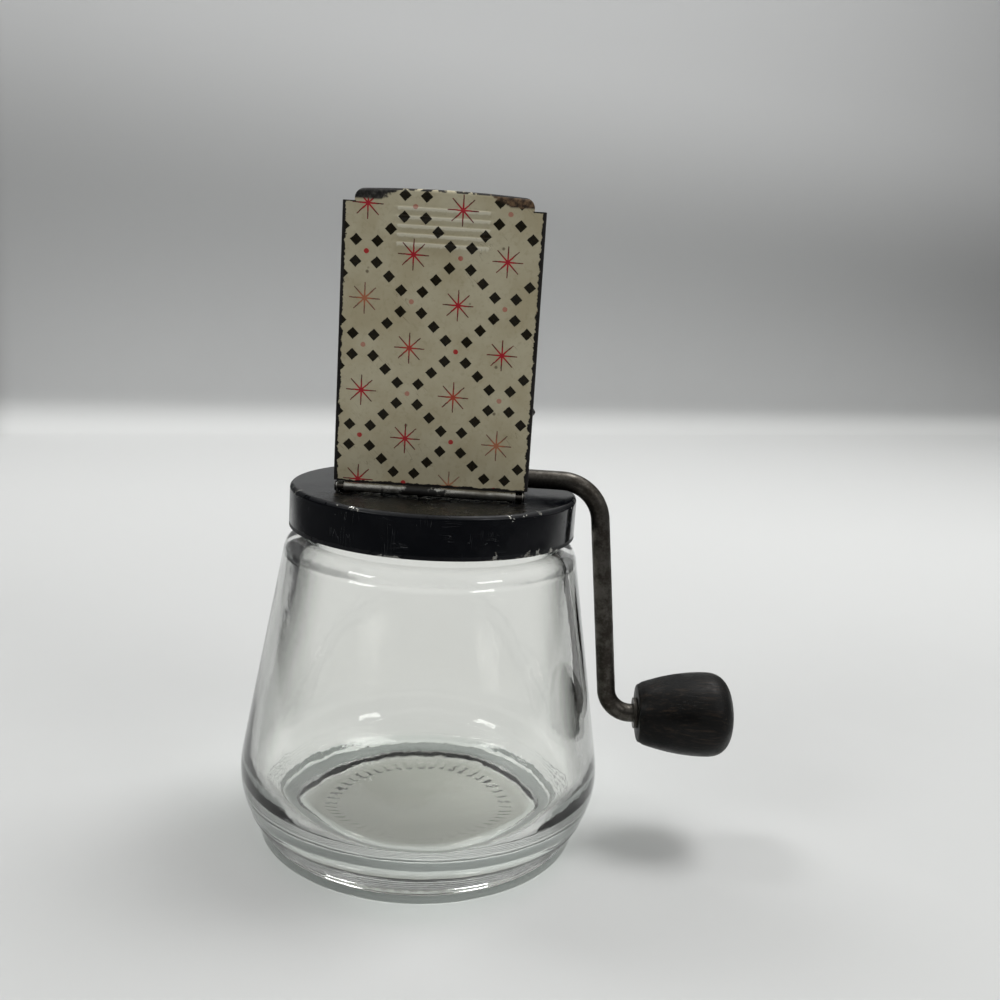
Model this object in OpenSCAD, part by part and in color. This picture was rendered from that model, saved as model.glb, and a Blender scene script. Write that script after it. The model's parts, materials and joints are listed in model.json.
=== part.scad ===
// Hand-cranked nut chopper: a glass jar, a screw cap that carries a tin hopper with a
// hinged front door, and a bent-rod crank that turns a row of star cutters through a comb.
// Millimetres. The origin is the middle of the jar's foot, +Z is up, the hopper door faces
// -Y and the crank comes out on +X.

/* [Jar] */
// How far the foot band is set in from the heel above it
foot_step = 0.45; // [0.2:0.05:1.5]
// Height of the foot band
foot_h = 4.2; // [3:0.1:6]
// Rounding of the foot band's lower edge
foot_round = 1.0; // [0.5:0.1:1.5]
// Width of the ring that the jar stands on
foot_ring = 7; // [4:0.5:12]
// How far the middle of the base is pushed up
push_up = 1.2; // [0.6:0.1:2]
// Largest radius of the jar, at the heel
heel_r = 46.5; // [42:0.1:50]
// Height of that largest radius
heel_z = 17.4; // [14:0.1:22]
// Radius of the heel's curve
heel_round = 21; // [18:0.5:25]
// Height of the shoulder's crest
shoulder_z = 78.2; // [60:0.1:100]
// Radius of the shoulder's curve
shoulder_round = 4.5; // [3:0.1:6]
// How far the middle of the shoulder's curve lies inside the neck's outside
shoulder_in = 0.45; // [0:0.05:2]
// Thickness of the neck
neck_wall = 3.2; // [2.4:0.1:4]
// Rounding of the rim
rim_round = 0.9; // [0.4:0.1:1.2]
// Thickness of the jar's side
glass_wall = 4; // [3:0.1:4.6]
// Thickness of the glass at the middle of the floor
floor_t = 5.2; // [4:0.1:7]
// Radius of the inside corner at the floor
floor_round = 15; // [11:0.5:17]
// Radius of the inside of the shoulder
inner_shoulder_round = 3; // [2.5:0.1:4]
// Extra glass under the shoulder's crest
shoulder_glass = 3.2; // [2.8:0.1:4]

/* [Screw cap] */
// Outside diameter of the cap
cap_d = 71.8; // [70.5:0.1:76]
// Height of the cap
cap_h = 10.25; // [9:0.05:14]
// Neck that shows under the cap
neck_show = 2.2; // [1.5:0.1:4]
// Rounding of the cap's top edge
cap_corner = 1.2; // [0.8:0.1:2]
// Thickness of the tin sheet
sheet_t = 0.45; // [0.3:0.05:0.6]
// Height of the hem rolled into the cap's lower edge
hem_h = 1.4; // [1:0.1:2]
// Width of that hem
hem_w = 1.4; // [1:0.1:1.6]
// Thickness of the sealing ring
seal_t = 1; // [0.6:0.1:1.5]
// Number of lugs in the cap, each under its own ridge on the neck
lug_count = 4; // [3:1:5]
// Angle that one lug covers
lug_span = 12; // [8:1:16]
// Thickness of a lug
lug_t = 1; // [0.7:0.1:1.2]
// Gap between a lug and the neck
lug_gap = 0.45; // [0.3:0.05:0.6]
// Free height between a lug and the ridges above and below it
lug_play = 0.4; // [0.35:0.05:0.6]
// Angle that one ridge covers
ridge_span = 66; // [40:1:70]
// Height that a ridge stands out of the neck
ridge_out = 1.1; // [0.8:0.05:1.2]
// Width of a ridge
ridge_w = 1.4; // [1:0.1:1.5]
// Gap between a ridge and the cap's hem
ridge_gap = 0.4; // [0.3:0.05:0.8]

/* [Hopper] */
// Outside width of the hopper
hopper_w = 44.8; // [43:0.1:46]
// Distance from the shaft to the front edge of the hopper's sides
hopper_front = 14.45; // [14:0.05:16]
// Distance from the shaft to the back of the hopper
hopper_back = 15; // [14:0.1:16]
// Height of the hopper's walls
hopper_h = 66.6; // [50:0.1:90]
// Rounding of the hopper's back corners
hopper_corner = 2; // [1:0.1:3]
// Width of the tabs that hold the hopper to the cap
tab_w = 5; // [3:0.5:6]
// How far a tab is folded over under the comb plate
tab_fold = 2.4; // [1.5:0.1:2.5]
// Free space round a tab in its slot
tab_play = 0.15; // [0.1:0.05:0.3]
// Distance of the side tabs from the shaft
side_tab_y = 7.5; // [6:0.5:9]
// Distance of the back tabs from the middle
back_tab_x = 11; // [6:0.5:13]

/* [Door] */
// Free space between the door and the hopper's walls
door_play = 0.3; // [0.2:0.05:0.5]
// Depth of the door's side flanges
door_flange = 5.7; // [3:0.1:8]
// Gap between the hinge ears and the door's lower corners
ear_gap = 0.2; // [0.15:0.05:0.6]
// Height of the door's corners above the hopper's walls
door_over = 0.4; // [0.2:0.1:1]
// Gap between each end of the rolled hinge edge and the hopper's side
curl_side_gap = 1.6; // [0.5:0.1:4]
// Radius of the hinge wire
wire_r = 0.6; // [0.4:0.05:0.7]
// Thickness of the wire's flattened ends
wire_head_t = 0.15; // [0.1:0.05:0.2]
// Free space between the wire and the rolled edge
wire_play = 0.06; // [0.04:0.01:0.09]
// Gap between the rolled edge and the cap
curl_gap = 0.3; // [0.25:0.05:0.5]
// Gap between each end of the door's top and the hopper's side
top_side_gap = 1.55; // [0.5:0.05:3]
// How far the top stands above the door's corners
top_rise = 2.8; // [2.4:0.1:4]
// Crown of the top in the middle
top_crown = 0.7; // [0.3:0.1:1.2]
// Rounding of the top's front edge
top_front_round = 1; // [0.6:0.1:3]
// Rounding of the top's ends
top_end_round = 2.2; // [1.2:0.1:3]
// Depth of the flanges turned down round the top
top_flange = 6; // [4:0.1:10]
// Free space between the top's back flange and the hopper's back
top_back_gap = 0.5; // [0.3:0.1:1]
// Number of ridges pressed in for the thumb
grip_count = 5; // [3:1:6]
// Distance from one thumb ridge to the next
grip_pitch = 1.95; // [1.2:0.05:2.2]
// Length of a thumb ridge
grip_w = 23; // [16:0.5:30]
// Height that a thumb ridge stands out
grip_out = 0.4; // [0.2:0.05:0.44]
// Distance of the first thumb ridge below the door's corners
grip_drop = 0.8; // [0.6:0.1:3]
// Radius of the dimple that holds the door shut
dimple_r = 1.2; // [0.8:0.1:1.5]
// Height that the dimple stands out
dimple_out = 0.6; // [0.3:0.1:0.7]
// Height of the dimple above the cap
dimple_z = 21.5; // [8:0.5:50]

/* [Crank] */
// Diameter of the crank rod
rod_d = 4.75; // [4.4:0.05:4.8]
// Gap between the shaft's bushes and the cap
shaft_gap = 0.15; // [0.1:0.05:1.5]
// Free space between the rod and what it turns in
rod_play = 0.05; // [0.03:0.01:0.09]
// Distance of the arm outside the cap at the height of the shaft
arm_out = 5.45; // [4:0.05:10]
// Throw of the crank, from the shaft down to the handle
throw = 61; // [45:0.1:63]
// Distance of the handle's bend outside the jar's largest radius
handle_out = 1.9; // [1:0.1:8]
// Upward tilt of the handle, in degrees
handle_tilt = 3; // [0:0.1:6]
// Radius of the bend at the shaft
bend_shaft = 10.6; // [8:0.1:12]
// Radius of the bend at the handle
bend_handle = 6.7; // [5:0.1:7.5]
// How much thinner the rod is round a bend
bend_thin = 0.04; // [0.02:0.01:0.1]
// Bare rod between the handle's bend and the knob
knob_gap = 1.5; // [1.2:0.1:4]
// Length of the knob
knob_l = 24.9; // [22:0.1:32]
// Diameter of the knob's inner end
knob_end_d = 15.2; // [11:0.1:18]
// Largest diameter of the knob
knob_d = 21.8; // [19:0.1:26]
// Distance of that largest diameter from the knob's inner end
knob_belly = 17.4; // [12:0.1:18.5]
// How quickly the knob swells from its inner end, 1 for a straight taper
knob_swell = 1.9; // [1.2:0.1:3]
// How square the knob's outer end is: 1 for an ellipse, less for a squarer end
knob_nose = 0.74; // [0.6:0.01:1]
// Thickness of the washers at the knob
washer_t = 0.8; // [0.5:0.1:1.2]
// Width of the washers round the rod
washer_w = 1.6; // [1:0.1:2]
// Gap between a washer and the knob
washer_gap = 0.15; // [0.1:0.05:0.3]
// Depth of the recess in the knob's outer end
recess_depth = 2.2; // [1.8:0.1:3]
// Thickness of the peened end of the rod
peen_t = 0.7; // [0.5:0.1:1]
// Width of the peened end round the rod
peen_w = 0.8; // [0.4:0.1:1]

/* [Cutters] */
// Number of star cutters on the shaft
blade_count = 6; // [5:1:6]
// Distance from the outer cutters to the ends of the opening
blade_end_room = 4.4; // [2:0.1:5]
// Thickness of a cutter
blade_t = 0.9; // [0.6:0.1:1]
// Gap between a cutter's points and the opening's edge
blade_room = 1.9; // [1:0.1:4]
// Width of a cutter's hub round the rod
hub_wall = 2.2; // [1.5:0.1:3]
// Number of points on a cutter
blade_points = 4; // [3:1:6]
// Width of a point at its root
point_root = 3.2; // [2:0.1:4]
// Width of a point at its tip
point_tip = 1.2; // [0.8:0.1:1.6]
// Turn from one cutter to the next, in degrees
blade_turn = 15; // [0:1:45]
// Wall of the tubes between the cutters
spacer_wall = 0.9; // [0.6:0.1:1]
// Thickness of the bush flange
bush_flange_t = 0.5; // [0.3:0.05:0.6]
// Wall of the bush
bush_wall = 0.4; // [0.3:0.05:0.6]
// Width of the bush flange round the barrel
bush_flange_w = 0.5; // [0.3:0.05:0.6]
// How far the bush's outer lip stands out of the wall
bush_lip_t = 0.25; // [0.15:0.05:0.3]
// Width of that lip round the barrel
bush_lip_w = 0.3; // [0.15:0.05:0.35]
// End play of the shaft at each bush
end_play = 0.15; // [0.1:0.05:0.3]
// Thickness of the comb plate
comb_t = 0.8; // [0.5:0.1:1]
// How far the comb plate reaches past the hopper's walls
comb_over = 1.8; // [1:0.1:3]
// Gap between the comb plate and the jar's neck
comb_gap = 0.8; // [0.4:0.1:2]
// Width of the cap's ledge inside the hopper's sides
ledge_side = 1.55; // [1:0.05:3]
// Width of the cap's ledge inside the hopper's back
ledge_back = 2.15; // [1:0.05:4]
// Distance that the comb's teeth stop short of the shaft's middle
tooth_stop = 2.4; // [1.5:0.1:4]
// Gap between a cutter and the comb's teeth on the coarse side
coarse_gap = 1.75; // [1.2:0.05:2.2]
// Gap between a cutter and the comb's teeth on the fine side
fine_gap = 0.65; // [0.4:0.05:1.1]

/* [Hidden] */
$fn = 96;
ARC_STEPS = 14;
CUT = 1;

cap_z = shoulder_z + neck_show;
cap_top = cap_z + cap_h;
cap_r = cap_d / 2;
rim_z = cap_top - sheet_t - seal_t;
neck_r = cap_r - hem_w - ridge_gap - ridge_out;
neck_bore_r = neck_r - neck_wall;

// The jar's side is the straight line that touches the heel's and the shoulder's curves
heel_c = [heel_r - heel_round, heel_z];
shoulder_c = [neck_r - shoulder_in, shoulder_z - shoulder_round];
heel_to_shoulder = shoulder_c - heel_c;
side_lean = atan2(heel_to_shoulder[1], heel_to_shoulder[0])
    - acos((heel_round - shoulder_round) / norm(heel_to_shoulder));
side_n = [cos(side_lean), sin(side_lean)];
side_d = [-sin(side_lean), cos(side_lean)];
heel_top = heel_c + heel_round * side_n;
heel_low = asin((foot_h - heel_z) / heel_round);
foot_r = heel_c[0] + heel_round * cos(heel_low) - foot_step;

// The cap's screw: ridges on the neck over lugs in the hem
lug_z = cap_z + (hem_h - lug_t) / 2;
ridge_z = lug_z + lug_t + lug_play + ridge_w / 2;
screw_lead = lug_count * (ridge_w + lug_t + 2 * lug_play);
screw_tilt = atan(screw_lead / (2 * PI * neck_r));

// Hinge of the door: the edge is rolled forwards from the back of the door
curl_r = wire_r + wire_play + sheet_t;
curl_w = hopper_w - 2 * (sheet_t + curl_side_gap);
door_front = -(hopper_front + door_play + sheet_t);
door_w = hopper_w + 2 * (door_play + sheet_t);
hinge_y = door_front + sheet_t - curl_r;
hinge_z = cap_top + curl_gap + curl_r;
ear_r = curl_r;
door_low = hinge_z + ear_r + ear_gap;
door_corner_z = cap_top + hopper_h + door_over;
top_w = hopper_w - 2 * (sheet_t + top_side_gap);
top_z = door_corner_z + top_rise + top_crown;

// Opening through the cap, and the cutters and bushes along the shaft
window_x = hopper_w / 2 - sheet_t - ledge_side;
window_y = hopper_back - sheet_t - ledge_back;
rod_r = rod_d / 2;
bush_r = rod_r + rod_play + bush_wall;
bush_face = hopper_w / 2 - sheet_t - bush_flange_t;
shaft_z = cap_top + shaft_gap + bush_r + bush_flange_w;
spacer_r = rod_r + spacer_wall;
blade_r = window_y - blade_room;
blade_first = blade_end_room - window_x;
blade_pitch = -2 * blade_first / (blade_count - 1);
blade_last_face = -blade_first + blade_t / 2;

// Crank: corners of the rod's centre line, as distances from the shaft in the XZ plane
corner_a = [cap_r + arm_out, 0];
corner_b = [heel_r + handle_out, -throw];
arm_l = norm(corner_b - corner_a);
arm_lean = atan((corner_b[0] - corner_a[0]) / throw);
turn_a = 90 - arm_lean;
turn_b = turn_a + handle_tilt;
trim_a = bend_shaft * tan(turn_a / 2);
trim_b = bend_handle * tan(turn_b / 2);
knob_start = trim_b + knob_gap;
recess_floor = knob_l - recess_depth;
rod_end = knob_start + recess_floor + washer_gap + washer_t;
rod_left = -(hopper_w / 2 + bush_lip_t);

function arc(c, r, from, to) =
    [for (i = [0:ARC_STEPS]) let (a = from + (to - from) * i / ARC_STEPS) c + r * [cos(a), sin(a)]];

// Middle of a round that touches the jar's side from inside, inset from the outside, at height z
function side_round(r, inset, z) =
    let (p = heel_top - (inset + r) * side_n)
    p + (z - p[1]) / side_d[1] * side_d;

module shaft_tube(from, to, r, bore)
    translate([from, 0, shaft_z]) rotate([0, 90, 0]) difference() {
        cylinder(h = to - from, r = r);
        translate([0, 0, -CUT]) cylinder(h = to - from + 2 * CUT, r = bore);
    }

module box_between(low, high)
    translate(low) cube(high - low);

// Jar
module jar_profile() {
    inner_c = side_round(inner_shoulder_round, glass_wall,
                         shoulder_z - shoulder_glass - inner_shoulder_round);
    floor_c = side_round(floor_round, glass_wall, floor_t + floor_round);
    foot_in = foot_r - foot_ring;
    polygon(concat(
        [[0, push_up], [foot_in - push_up, push_up], [foot_in, 0]],
        arc([foot_r - foot_round, foot_round], foot_round, -90, 0),
        [[foot_r, foot_h]],
        arc(heel_c, heel_round, heel_low, side_lean),
        arc(shoulder_c, shoulder_round, side_lean, acos((neck_r - shoulder_c[0]) / shoulder_round)),
        arc([neck_r - rim_round, rim_z - rim_round], rim_round, 0, 90),
        arc([neck_bore_r + rim_round, rim_z - rim_round], rim_round, 90, 180),
        arc(inner_c, inner_shoulder_round,
            acos((neck_bore_r - inner_c[0]) / inner_shoulder_round), side_lean),
        arc(floor_c, floor_round, side_lean, -90),
        [[0, floor_t]]));
}

// A ridge tapers from inside the glass to its crest and is ridge_w wide at the neck's surface
module neck_ridge() {
    root = neck_r - ridge_out;
    crest = neck_r + ridge_out;
    rotate([screw_tilt, 0, 0]) rotate([0, 0, -ridge_span / 2])
        rotate_extrude(angle = ridge_span)
            polygon([[root, -ridge_w * 3 / 4], [crest, -ridge_w / 4], [crest, ridge_w / 4], [root, ridge_w * 3 / 4]]);
}

module jar() color("#d5dedb", 0.5) {
    rotate_extrude() jar_profile();
    for (i = [0:lug_count - 1])
        translate([0, 0, ridge_z]) rotate([0, 0, (i + 0.5) * 360 / lug_count]) neck_ridge();
}

// Screw cap
module sealing_ring() color("#c9bfa5")
    translate([0, 0, rim_z]) difference() {
        cylinder(h = seal_t, r = cap_r - cap_corner);
        translate([0, 0, -CUT]) cylinder(h = seal_t + 2 * CUT, r = neck_bore_r);
    }

module cap_profile() {
    inner_r = cap_r - sheet_t;
    bend_c = [cap_r - cap_corner, cap_top - cap_corner];
    polygon(concat(
        [[0, cap_top - sheet_t], [0, cap_top]],
        arc(bend_c, cap_corner, 90, 0),
        [[cap_r, cap_z], [cap_r - hem_w, cap_z], [cap_r - hem_w, cap_z + hem_h],
         [inner_r, cap_z + hem_h]],
        arc(bend_c, cap_corner - sheet_t, 0, 90)));
}

module cap_lug() {
    lug_in = neck_r + lug_gap;
    rotate([0, 0, -lug_span / 2]) rotate_extrude(angle = lug_span)
        translate([lug_in, lug_z]) square([cap_r - sheet_t - lug_in, lug_t]);
}

module screw_cap() color("#15181d") difference() {
    union() {
        rotate_extrude() cap_profile();
        for (i = [0:lug_count - 1])
            rotate([0, 0, (i + 0.5) * 360 / lug_count]) cap_lug();
    }
    box_between([-window_x, -window_y, cap_top - sheet_t - CUT], [window_x, window_y, cap_top + CUT]);
    tab_slots();
}

// Tabs of the hopper, through the cap and the comb plate and folded outwards
module each_tab() {
    for (side = [-1, 1], end = [-1, 1])
        translate([side * hopper_w / 2, end * side_tab_y, cap_top])
            rotate([0, 0, side > 0 ? 0 : 180]) children();
    for (side = [-1, 1])
        translate([side * back_tab_x, hopper_back, cap_top]) rotate([0, 0, 90]) children();
}

module tab_slots()
    each_tab()
        box_between([-sheet_t - tab_play, -tab_w / 2 - tab_play, -sheet_t - comb_t - CUT],
                    [tab_play, tab_w / 2 + tab_play, CUT]);

module tab() {
    under = -sheet_t - comb_t;
    box_between([-sheet_t, -tab_w / 2, under - sheet_t], [0, tab_w / 2, 0]);
    box_between([-sheet_t, -tab_w / 2, under - sheet_t], [tab_fold, tab_w / 2, under]);
}

// Hopper: one strip of tin folded into a back and two sides
module back_corners(half_w, back, r) {
    translate([-half_w, -hopper_front]) square([2 * half_w, hopper_front + back - r]);
    translate([-half_w + r, 0]) square([2 * (half_w - r), back]);
    for (side = [-1, 1]) translate([side * (half_w - r), back - r]) circle(r);
}

module hopper_wrap() color("#1b1e23") difference() {
    union() {
        translate([0, 0, cap_top]) linear_extrude(hopper_h) difference() {
            back_corners(hopper_w / 2, hopper_back, hopper_corner);
            back_corners(hopper_w / 2 - sheet_t, hopper_back - sheet_t, hopper_corner - sheet_t);
            translate([-hopper_w / 2 + sheet_t, -hopper_front - CUT]) square([hopper_w - 2 * sheet_t, 2 * CUT]);
        }
        for (side = [-1, 1]) hinge_ear(side * (hopper_w - sheet_t) / 2);
        each_tab() tab();
    }
    translate([-hopper_w, 0, shaft_z]) rotate([0, 90, 0]) cylinder(h = 2 * hopper_w, r = bush_r);
    hinge_line(hopper_w, wire_r);
}

module hinge_line(w, r)
    translate([-w / 2, hinge_y, hinge_z]) rotate([0, 90, 0]) cylinder(h = w, r = r);

module hinge_ear(x)
    translate([x, 0, 0]) {
        hinge_line(sheet_t, ear_r);
        box_between([-sheet_t / 2, hinge_y, cap_top], [sheet_t / 2, CUT - hopper_front, hinge_z + ear_r]);
    }

module door_hinge_wire() color("#8d8b86") {
    hinge_line(hopper_w, wire_r);
    for (side = [-1, 1])
        translate([side * (hopper_w + wire_head_t) / 2, 0, 0]) hinge_line(wire_head_t, wire_r + sheet_t);
}

// Door: a front with side flanges, a rolled hinge edge and a crowned top
module top_shape(inset) {
    half_w = top_w / 2 - inset;
    front = door_front + inset;
    back = hopper_back - sheet_t - top_back_gap - inset;
    low = door_corner_z - top_flange - (inset > 0 ? CUT : 0);
    high = top_z - inset;
    front_r = top_front_round - inset;
    end_r = top_end_round - inset;
    crown_r = (pow(top_w / 2, 2) + pow(top_crown, 2)) / (2 * top_crown) - inset;
    end_z = high - top_crown - end_r;
    intersection() {
        // Seen from the front: rounded ends under a crown
        translate([0, back, 0]) rotate([90, 0, 0]) linear_extrude(back - front) intersection() {
            union() {
                translate([-half_w, low]) square([2 * half_w, end_z - low]);
                translate([-half_w + end_r, low]) square([2 * (half_w - end_r), high - low]);
                for (side = [-1, 1]) translate([side * (half_w - end_r), end_z]) circle(end_r);
            }
            translate([0, high - crown_r]) circle(crown_r, $fn = 240);
        }
        // Seen from the side: a rounded front edge
        translate([-half_w, 0, 0]) rotate([90, 0, 90]) linear_extrude(2 * half_w) union() {
            translate([front, low]) square([back - front, high - front_r - low]);
            translate([front + front_r, low]) square([back - front - front_r, high - low]);
            translate([front + front_r, high - front_r]) circle(front_r);
        }
    }
}

module hopper_door() color("#b9b29a") {
    panel_back = door_front + sheet_t;
    difference() {
        union() {
            box_between([-door_w / 2, door_front, door_low], [door_w / 2, panel_back, door_corner_z]);
            box_between([-curl_w / 2, door_front, hinge_z], [curl_w / 2, panel_back, door_low]);
            for (side = [-1, 1]) translate([side * (door_w - sheet_t) / 2, 0, 0])
                box_between([-sheet_t / 2, door_front, door_low],
                            [sheet_t / 2, door_front + door_flange, door_corner_z]);
            translate([door_w / 2 - sheet_t, door_front + door_flange / 2, cap_top + dimple_z])
                rotate([0, 90, 0]) cylinder(h = sheet_t + dimple_out, r1 = dimple_r, r2 = dimple_r / 2);
            hinge_line(curl_w, curl_r);
            difference() {
                top_shape(0);
                top_shape(sheet_t);
            }
            for (i = [0:grip_count - 1])
                translate([-grip_w / 2, door_front, door_corner_z - grip_drop - i * grip_pitch])
                    rotate([0, 90, 0]) cylinder(h = grip_w, r = grip_out);
        }
        hinge_line(curl_w + CUT, wire_r + wire_play);
    }
}

// Shaft bushes, set in the hopper's sides with the flange inside
module shaft_bush(side) color("#a58a4c") {
    wall_out = hopper_w / 2;
    wall_in = wall_out - sheet_t;
    bore = rod_r + rod_play;
    mirror([side > 0 ? 0 : 1, 0, 0]) {
        shaft_tube(bush_face, wall_in, bush_r + bush_flange_w, bore);
        shaft_tube(wall_in, wall_out, bush_r, bore);
        shaft_tube(wall_out, wall_out + bush_lip_t, bush_r + bush_lip_w, bore);
    }
}

// Comb plate under the cap: coarse teeth in front, fine teeth behind, one row in each gap
module comb_teeth(side, gap) {
    tooth_w = blade_pitch - blade_t - 2 * gap;
    for (i = [0:blade_count]) {
        x = blade_first + (i - 0.5) * blade_pitch;
        left = max(x - tooth_w / 2, -window_x);
        right = min(x + tooth_w / 2, window_x);
        if (right > left)
            translate([left, side > 0 ? tooth_stop : -window_y - CUT])
                square([right - left, window_y + CUT - tooth_stop]);
    }
}

module comb_plate() color("#9a9c9d") difference() {
    half_w = hopper_w / 2 + comb_over;
    front = hopper_front + comb_over;
    translate([0, 0, cap_top - sheet_t - comb_t]) linear_extrude(comb_t) {
        difference() {
            intersection() {
                translate([-half_w, -front]) square([2 * half_w, front + hopper_back + comb_over]);
                circle(neck_bore_r - comb_gap);
            }
            square([2 * window_x, 2 * window_y], center = true);
        }
        comb_teeth(-1, coarse_gap);
        comb_teeth(1, fine_gap);
    }
    tab_slots();
}

// Star cutters, the tubes that space them, and the collars at their ends
module cutter_blade(i)
    color("#a9abac") translate([blade_first + (i - 1) * blade_pitch - blade_t / 2, 0, shaft_z])
        rotate([90, 0, 90]) linear_extrude(blade_t) difference() {
            union() {
                circle(rod_r + hub_wall);
                for (p = [0:blade_points - 1])
                    rotate(p * 360 / blade_points + (i - 1) * blade_turn)
                        polygon([[0, -point_root / 2], [blade_r, -point_tip / 2],
                                 [blade_r, point_tip / 2], [0, point_root / 2]]);
            }
            circle(rod_r);
        }

module blade_spacer(i)
    color("#8f9091")
        shaft_tube(blade_first + (i - 1) * blade_pitch + blade_t / 2,
                   blade_first + i * blade_pitch - blade_t / 2, spacer_r, rod_r);

module end_collar(side)
    color("#8f9091") mirror([side > 0 ? 0 : 1, 0, 0])
        shaft_tube(blade_last_face, bush_face - end_play, spacer_r, rod_r);

// Crank: one bent rod, drawn in a plane with X along the shaft and Y up
module rod_run(start, angle, from, to)
    translate(start) rotate([0, 0, angle]) rotate([0, 90, 0])
        translate([0, 0, from]) cylinder(h = to - from, r = rod_r);

// A bend is a little thinner than the rod and runs on into it at both ends
module rod_bend(centre, r, from, sweep) {
    lap = asin(bend_thin / 2);
    translate(centre) rotate([0, 0, from - lap]) rotate_extrude(angle = sweep + 2 * lap)
        translate([r, 0]) circle(rod_r - bend_thin);
}

module in_crank_plane()
    translate([0, 0, shaft_z]) rotate([90, 0, 0]) children();

module along_handle()
    in_crank_plane() translate(corner_b) rotate([0, 0, handle_tilt]) rotate([0, 90, 0]) children();

module crank_rod() color("#3b3733") {
    in_crank_plane() {
        rod_run([0, 0], 0, rod_left, corner_a[0] - trim_a);
        rod_bend(corner_a - [trim_a, bend_shaft], bend_shaft, arm_lean, turn_a);
        rod_run(corner_a, arm_lean - 90, trim_a, arm_l - trim_b);
        rod_bend(corner_b + trim_b * [cos(handle_tilt), sin(handle_tilt)]
                 + bend_handle * [-sin(handle_tilt), cos(handle_tilt)],
                 bend_handle, 180 + arm_lean, turn_b);
        rod_run(corner_b, handle_tilt, trim_b, rod_end + peen_t / 2);
    }
    along_handle() translate([0, 0, rod_end]) cylinder(h = peen_t, r = rod_r + peen_w);
}

// Turned wooden knob, free to spin on the end of the rod between two washers
module crank_knob() color("#2a2420") {
    end_r = knob_end_d / 2;
    full_r = knob_d / 2;
    steps = 2 * ARC_STEPS;
    nose_l = knob_l - knob_belly;
    recess_r = rod_r + washer_w + 2 * washer_gap;
    along_handle() translate([0, 0, knob_start]) difference() {
        rotate_extrude() polygon(concat(
            [[0, 0]],
            [for (i = [0:steps]) let (t = i / steps)
                [full_r - (full_r - end_r) * pow(1 - t, knob_swell), knob_belly * t]],
            [for (i = [1:steps]) let (a = 90 * i / steps)
                [full_r * pow(cos(a), knob_nose), knob_belly + nose_l * pow(sin(a), knob_nose)]]));
        translate([0, 0, -CUT]) cylinder(h = knob_l, r = rod_r + rod_play);
        translate([0, 0, recess_floor]) cylinder(h = knob_l, r = recess_r);
    }
}

module rod_washer(from)
    along_handle() translate([0, 0, from]) difference() {
        cylinder(h = washer_t, r = rod_r + washer_w);
        translate([0, 0, -CUT]) cylinder(h = washer_t + 2 * CUT, r = rod_r);
    }

module knob_stop_washer() color("#77736c") rod_washer(knob_start - washer_gap - washer_t);

module knob_end_washer() color("#77736c") rod_washer(knob_start + recess_floor + washer_gap);

jar();
sealing_ring();
screw_cap();
hopper_wrap();
comb_plate();
shaft_bush(-1);  // shaft_bush_left
shaft_bush(1);  // shaft_bush_right
door_hinge_wire();
hopper_door();
crank_rod();
for (i = [1:blade_count])
    cutter_blade(i);
for (i = [1:blade_count - 1])
    blade_spacer(i);
end_collar(-1);  // end_collar_left
end_collar(1);  // end_collar_right
knob_stop_washer();
crank_knob();
knob_end_washer();
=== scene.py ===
import json
from functools import partialmethod
from math import acos, asin, cos, degrees, pi, radians, sin, sqrt

import bmesh
import bpy
import numpy as np
from mathutils import Matrix, Vector


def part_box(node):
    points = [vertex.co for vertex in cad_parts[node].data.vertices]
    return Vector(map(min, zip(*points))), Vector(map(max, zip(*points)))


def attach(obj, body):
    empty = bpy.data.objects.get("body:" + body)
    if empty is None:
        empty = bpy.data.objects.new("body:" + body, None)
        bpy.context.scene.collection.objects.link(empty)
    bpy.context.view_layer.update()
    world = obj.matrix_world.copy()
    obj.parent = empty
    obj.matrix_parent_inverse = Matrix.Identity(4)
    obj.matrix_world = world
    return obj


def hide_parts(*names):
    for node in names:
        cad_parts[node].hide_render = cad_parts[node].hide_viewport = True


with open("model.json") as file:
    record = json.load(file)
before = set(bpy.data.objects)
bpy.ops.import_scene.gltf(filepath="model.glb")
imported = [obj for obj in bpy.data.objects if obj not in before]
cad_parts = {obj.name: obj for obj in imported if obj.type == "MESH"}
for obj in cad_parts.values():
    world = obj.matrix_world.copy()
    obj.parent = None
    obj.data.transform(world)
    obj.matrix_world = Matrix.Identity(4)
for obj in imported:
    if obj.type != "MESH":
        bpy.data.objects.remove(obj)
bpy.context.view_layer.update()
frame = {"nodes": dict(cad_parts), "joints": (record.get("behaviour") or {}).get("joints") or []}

# Lengths below are in millimetres, and MM turns them into Blender's metres
MM = 0.001
SHEET_T = 0.45

# Camera, solved from the photograph's outlines, in a picture of 1000 by 1000
PICTURE, SENSOR = 1000, 36.0
FOCAL_PIXELS = 1005.4
CAMERA_PLACE = (17.83, -250.10, 136.58)
CAMERA_PITCH = radians(10.963)
CAMERA_ROLL = radians(3.730)
CAMERA_PAN = radians(0.263)


def box_mm(node):
    """A CAD node's lowest and highest corners in millimetres."""
    low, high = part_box(node)
    return Vector(low) / MM, Vector(high) / MM


def joint_place(name):
    """The point that a joint turns about, in millimetres, and its axis."""
    joint = next(j for j in frame["joints"] if j["name"] == name)
    return Vector(joint["pos_m"]) / MM, Vector(joint["axis"])


def tone(red, green, blue):
    """A screen colour, 0 to 255, as the linear colour that shaders take."""
    parts = []
    for level in (red, green, blue):
        share = level / 255
        parts.append(share / 12.92 if share < 0.04045 else ((share + 0.055) / 1.055) ** 2.4)
    return (*parts, 1.0)


# Node trees

FLOAT, VECTOR, WHOLE = "NodeSocketFloat", "NodeSocketVector", "NodeSocketInt"
GEOMETRY, MATERIAL = "NodeSocketGeometry", "NodeSocketMaterial"


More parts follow.
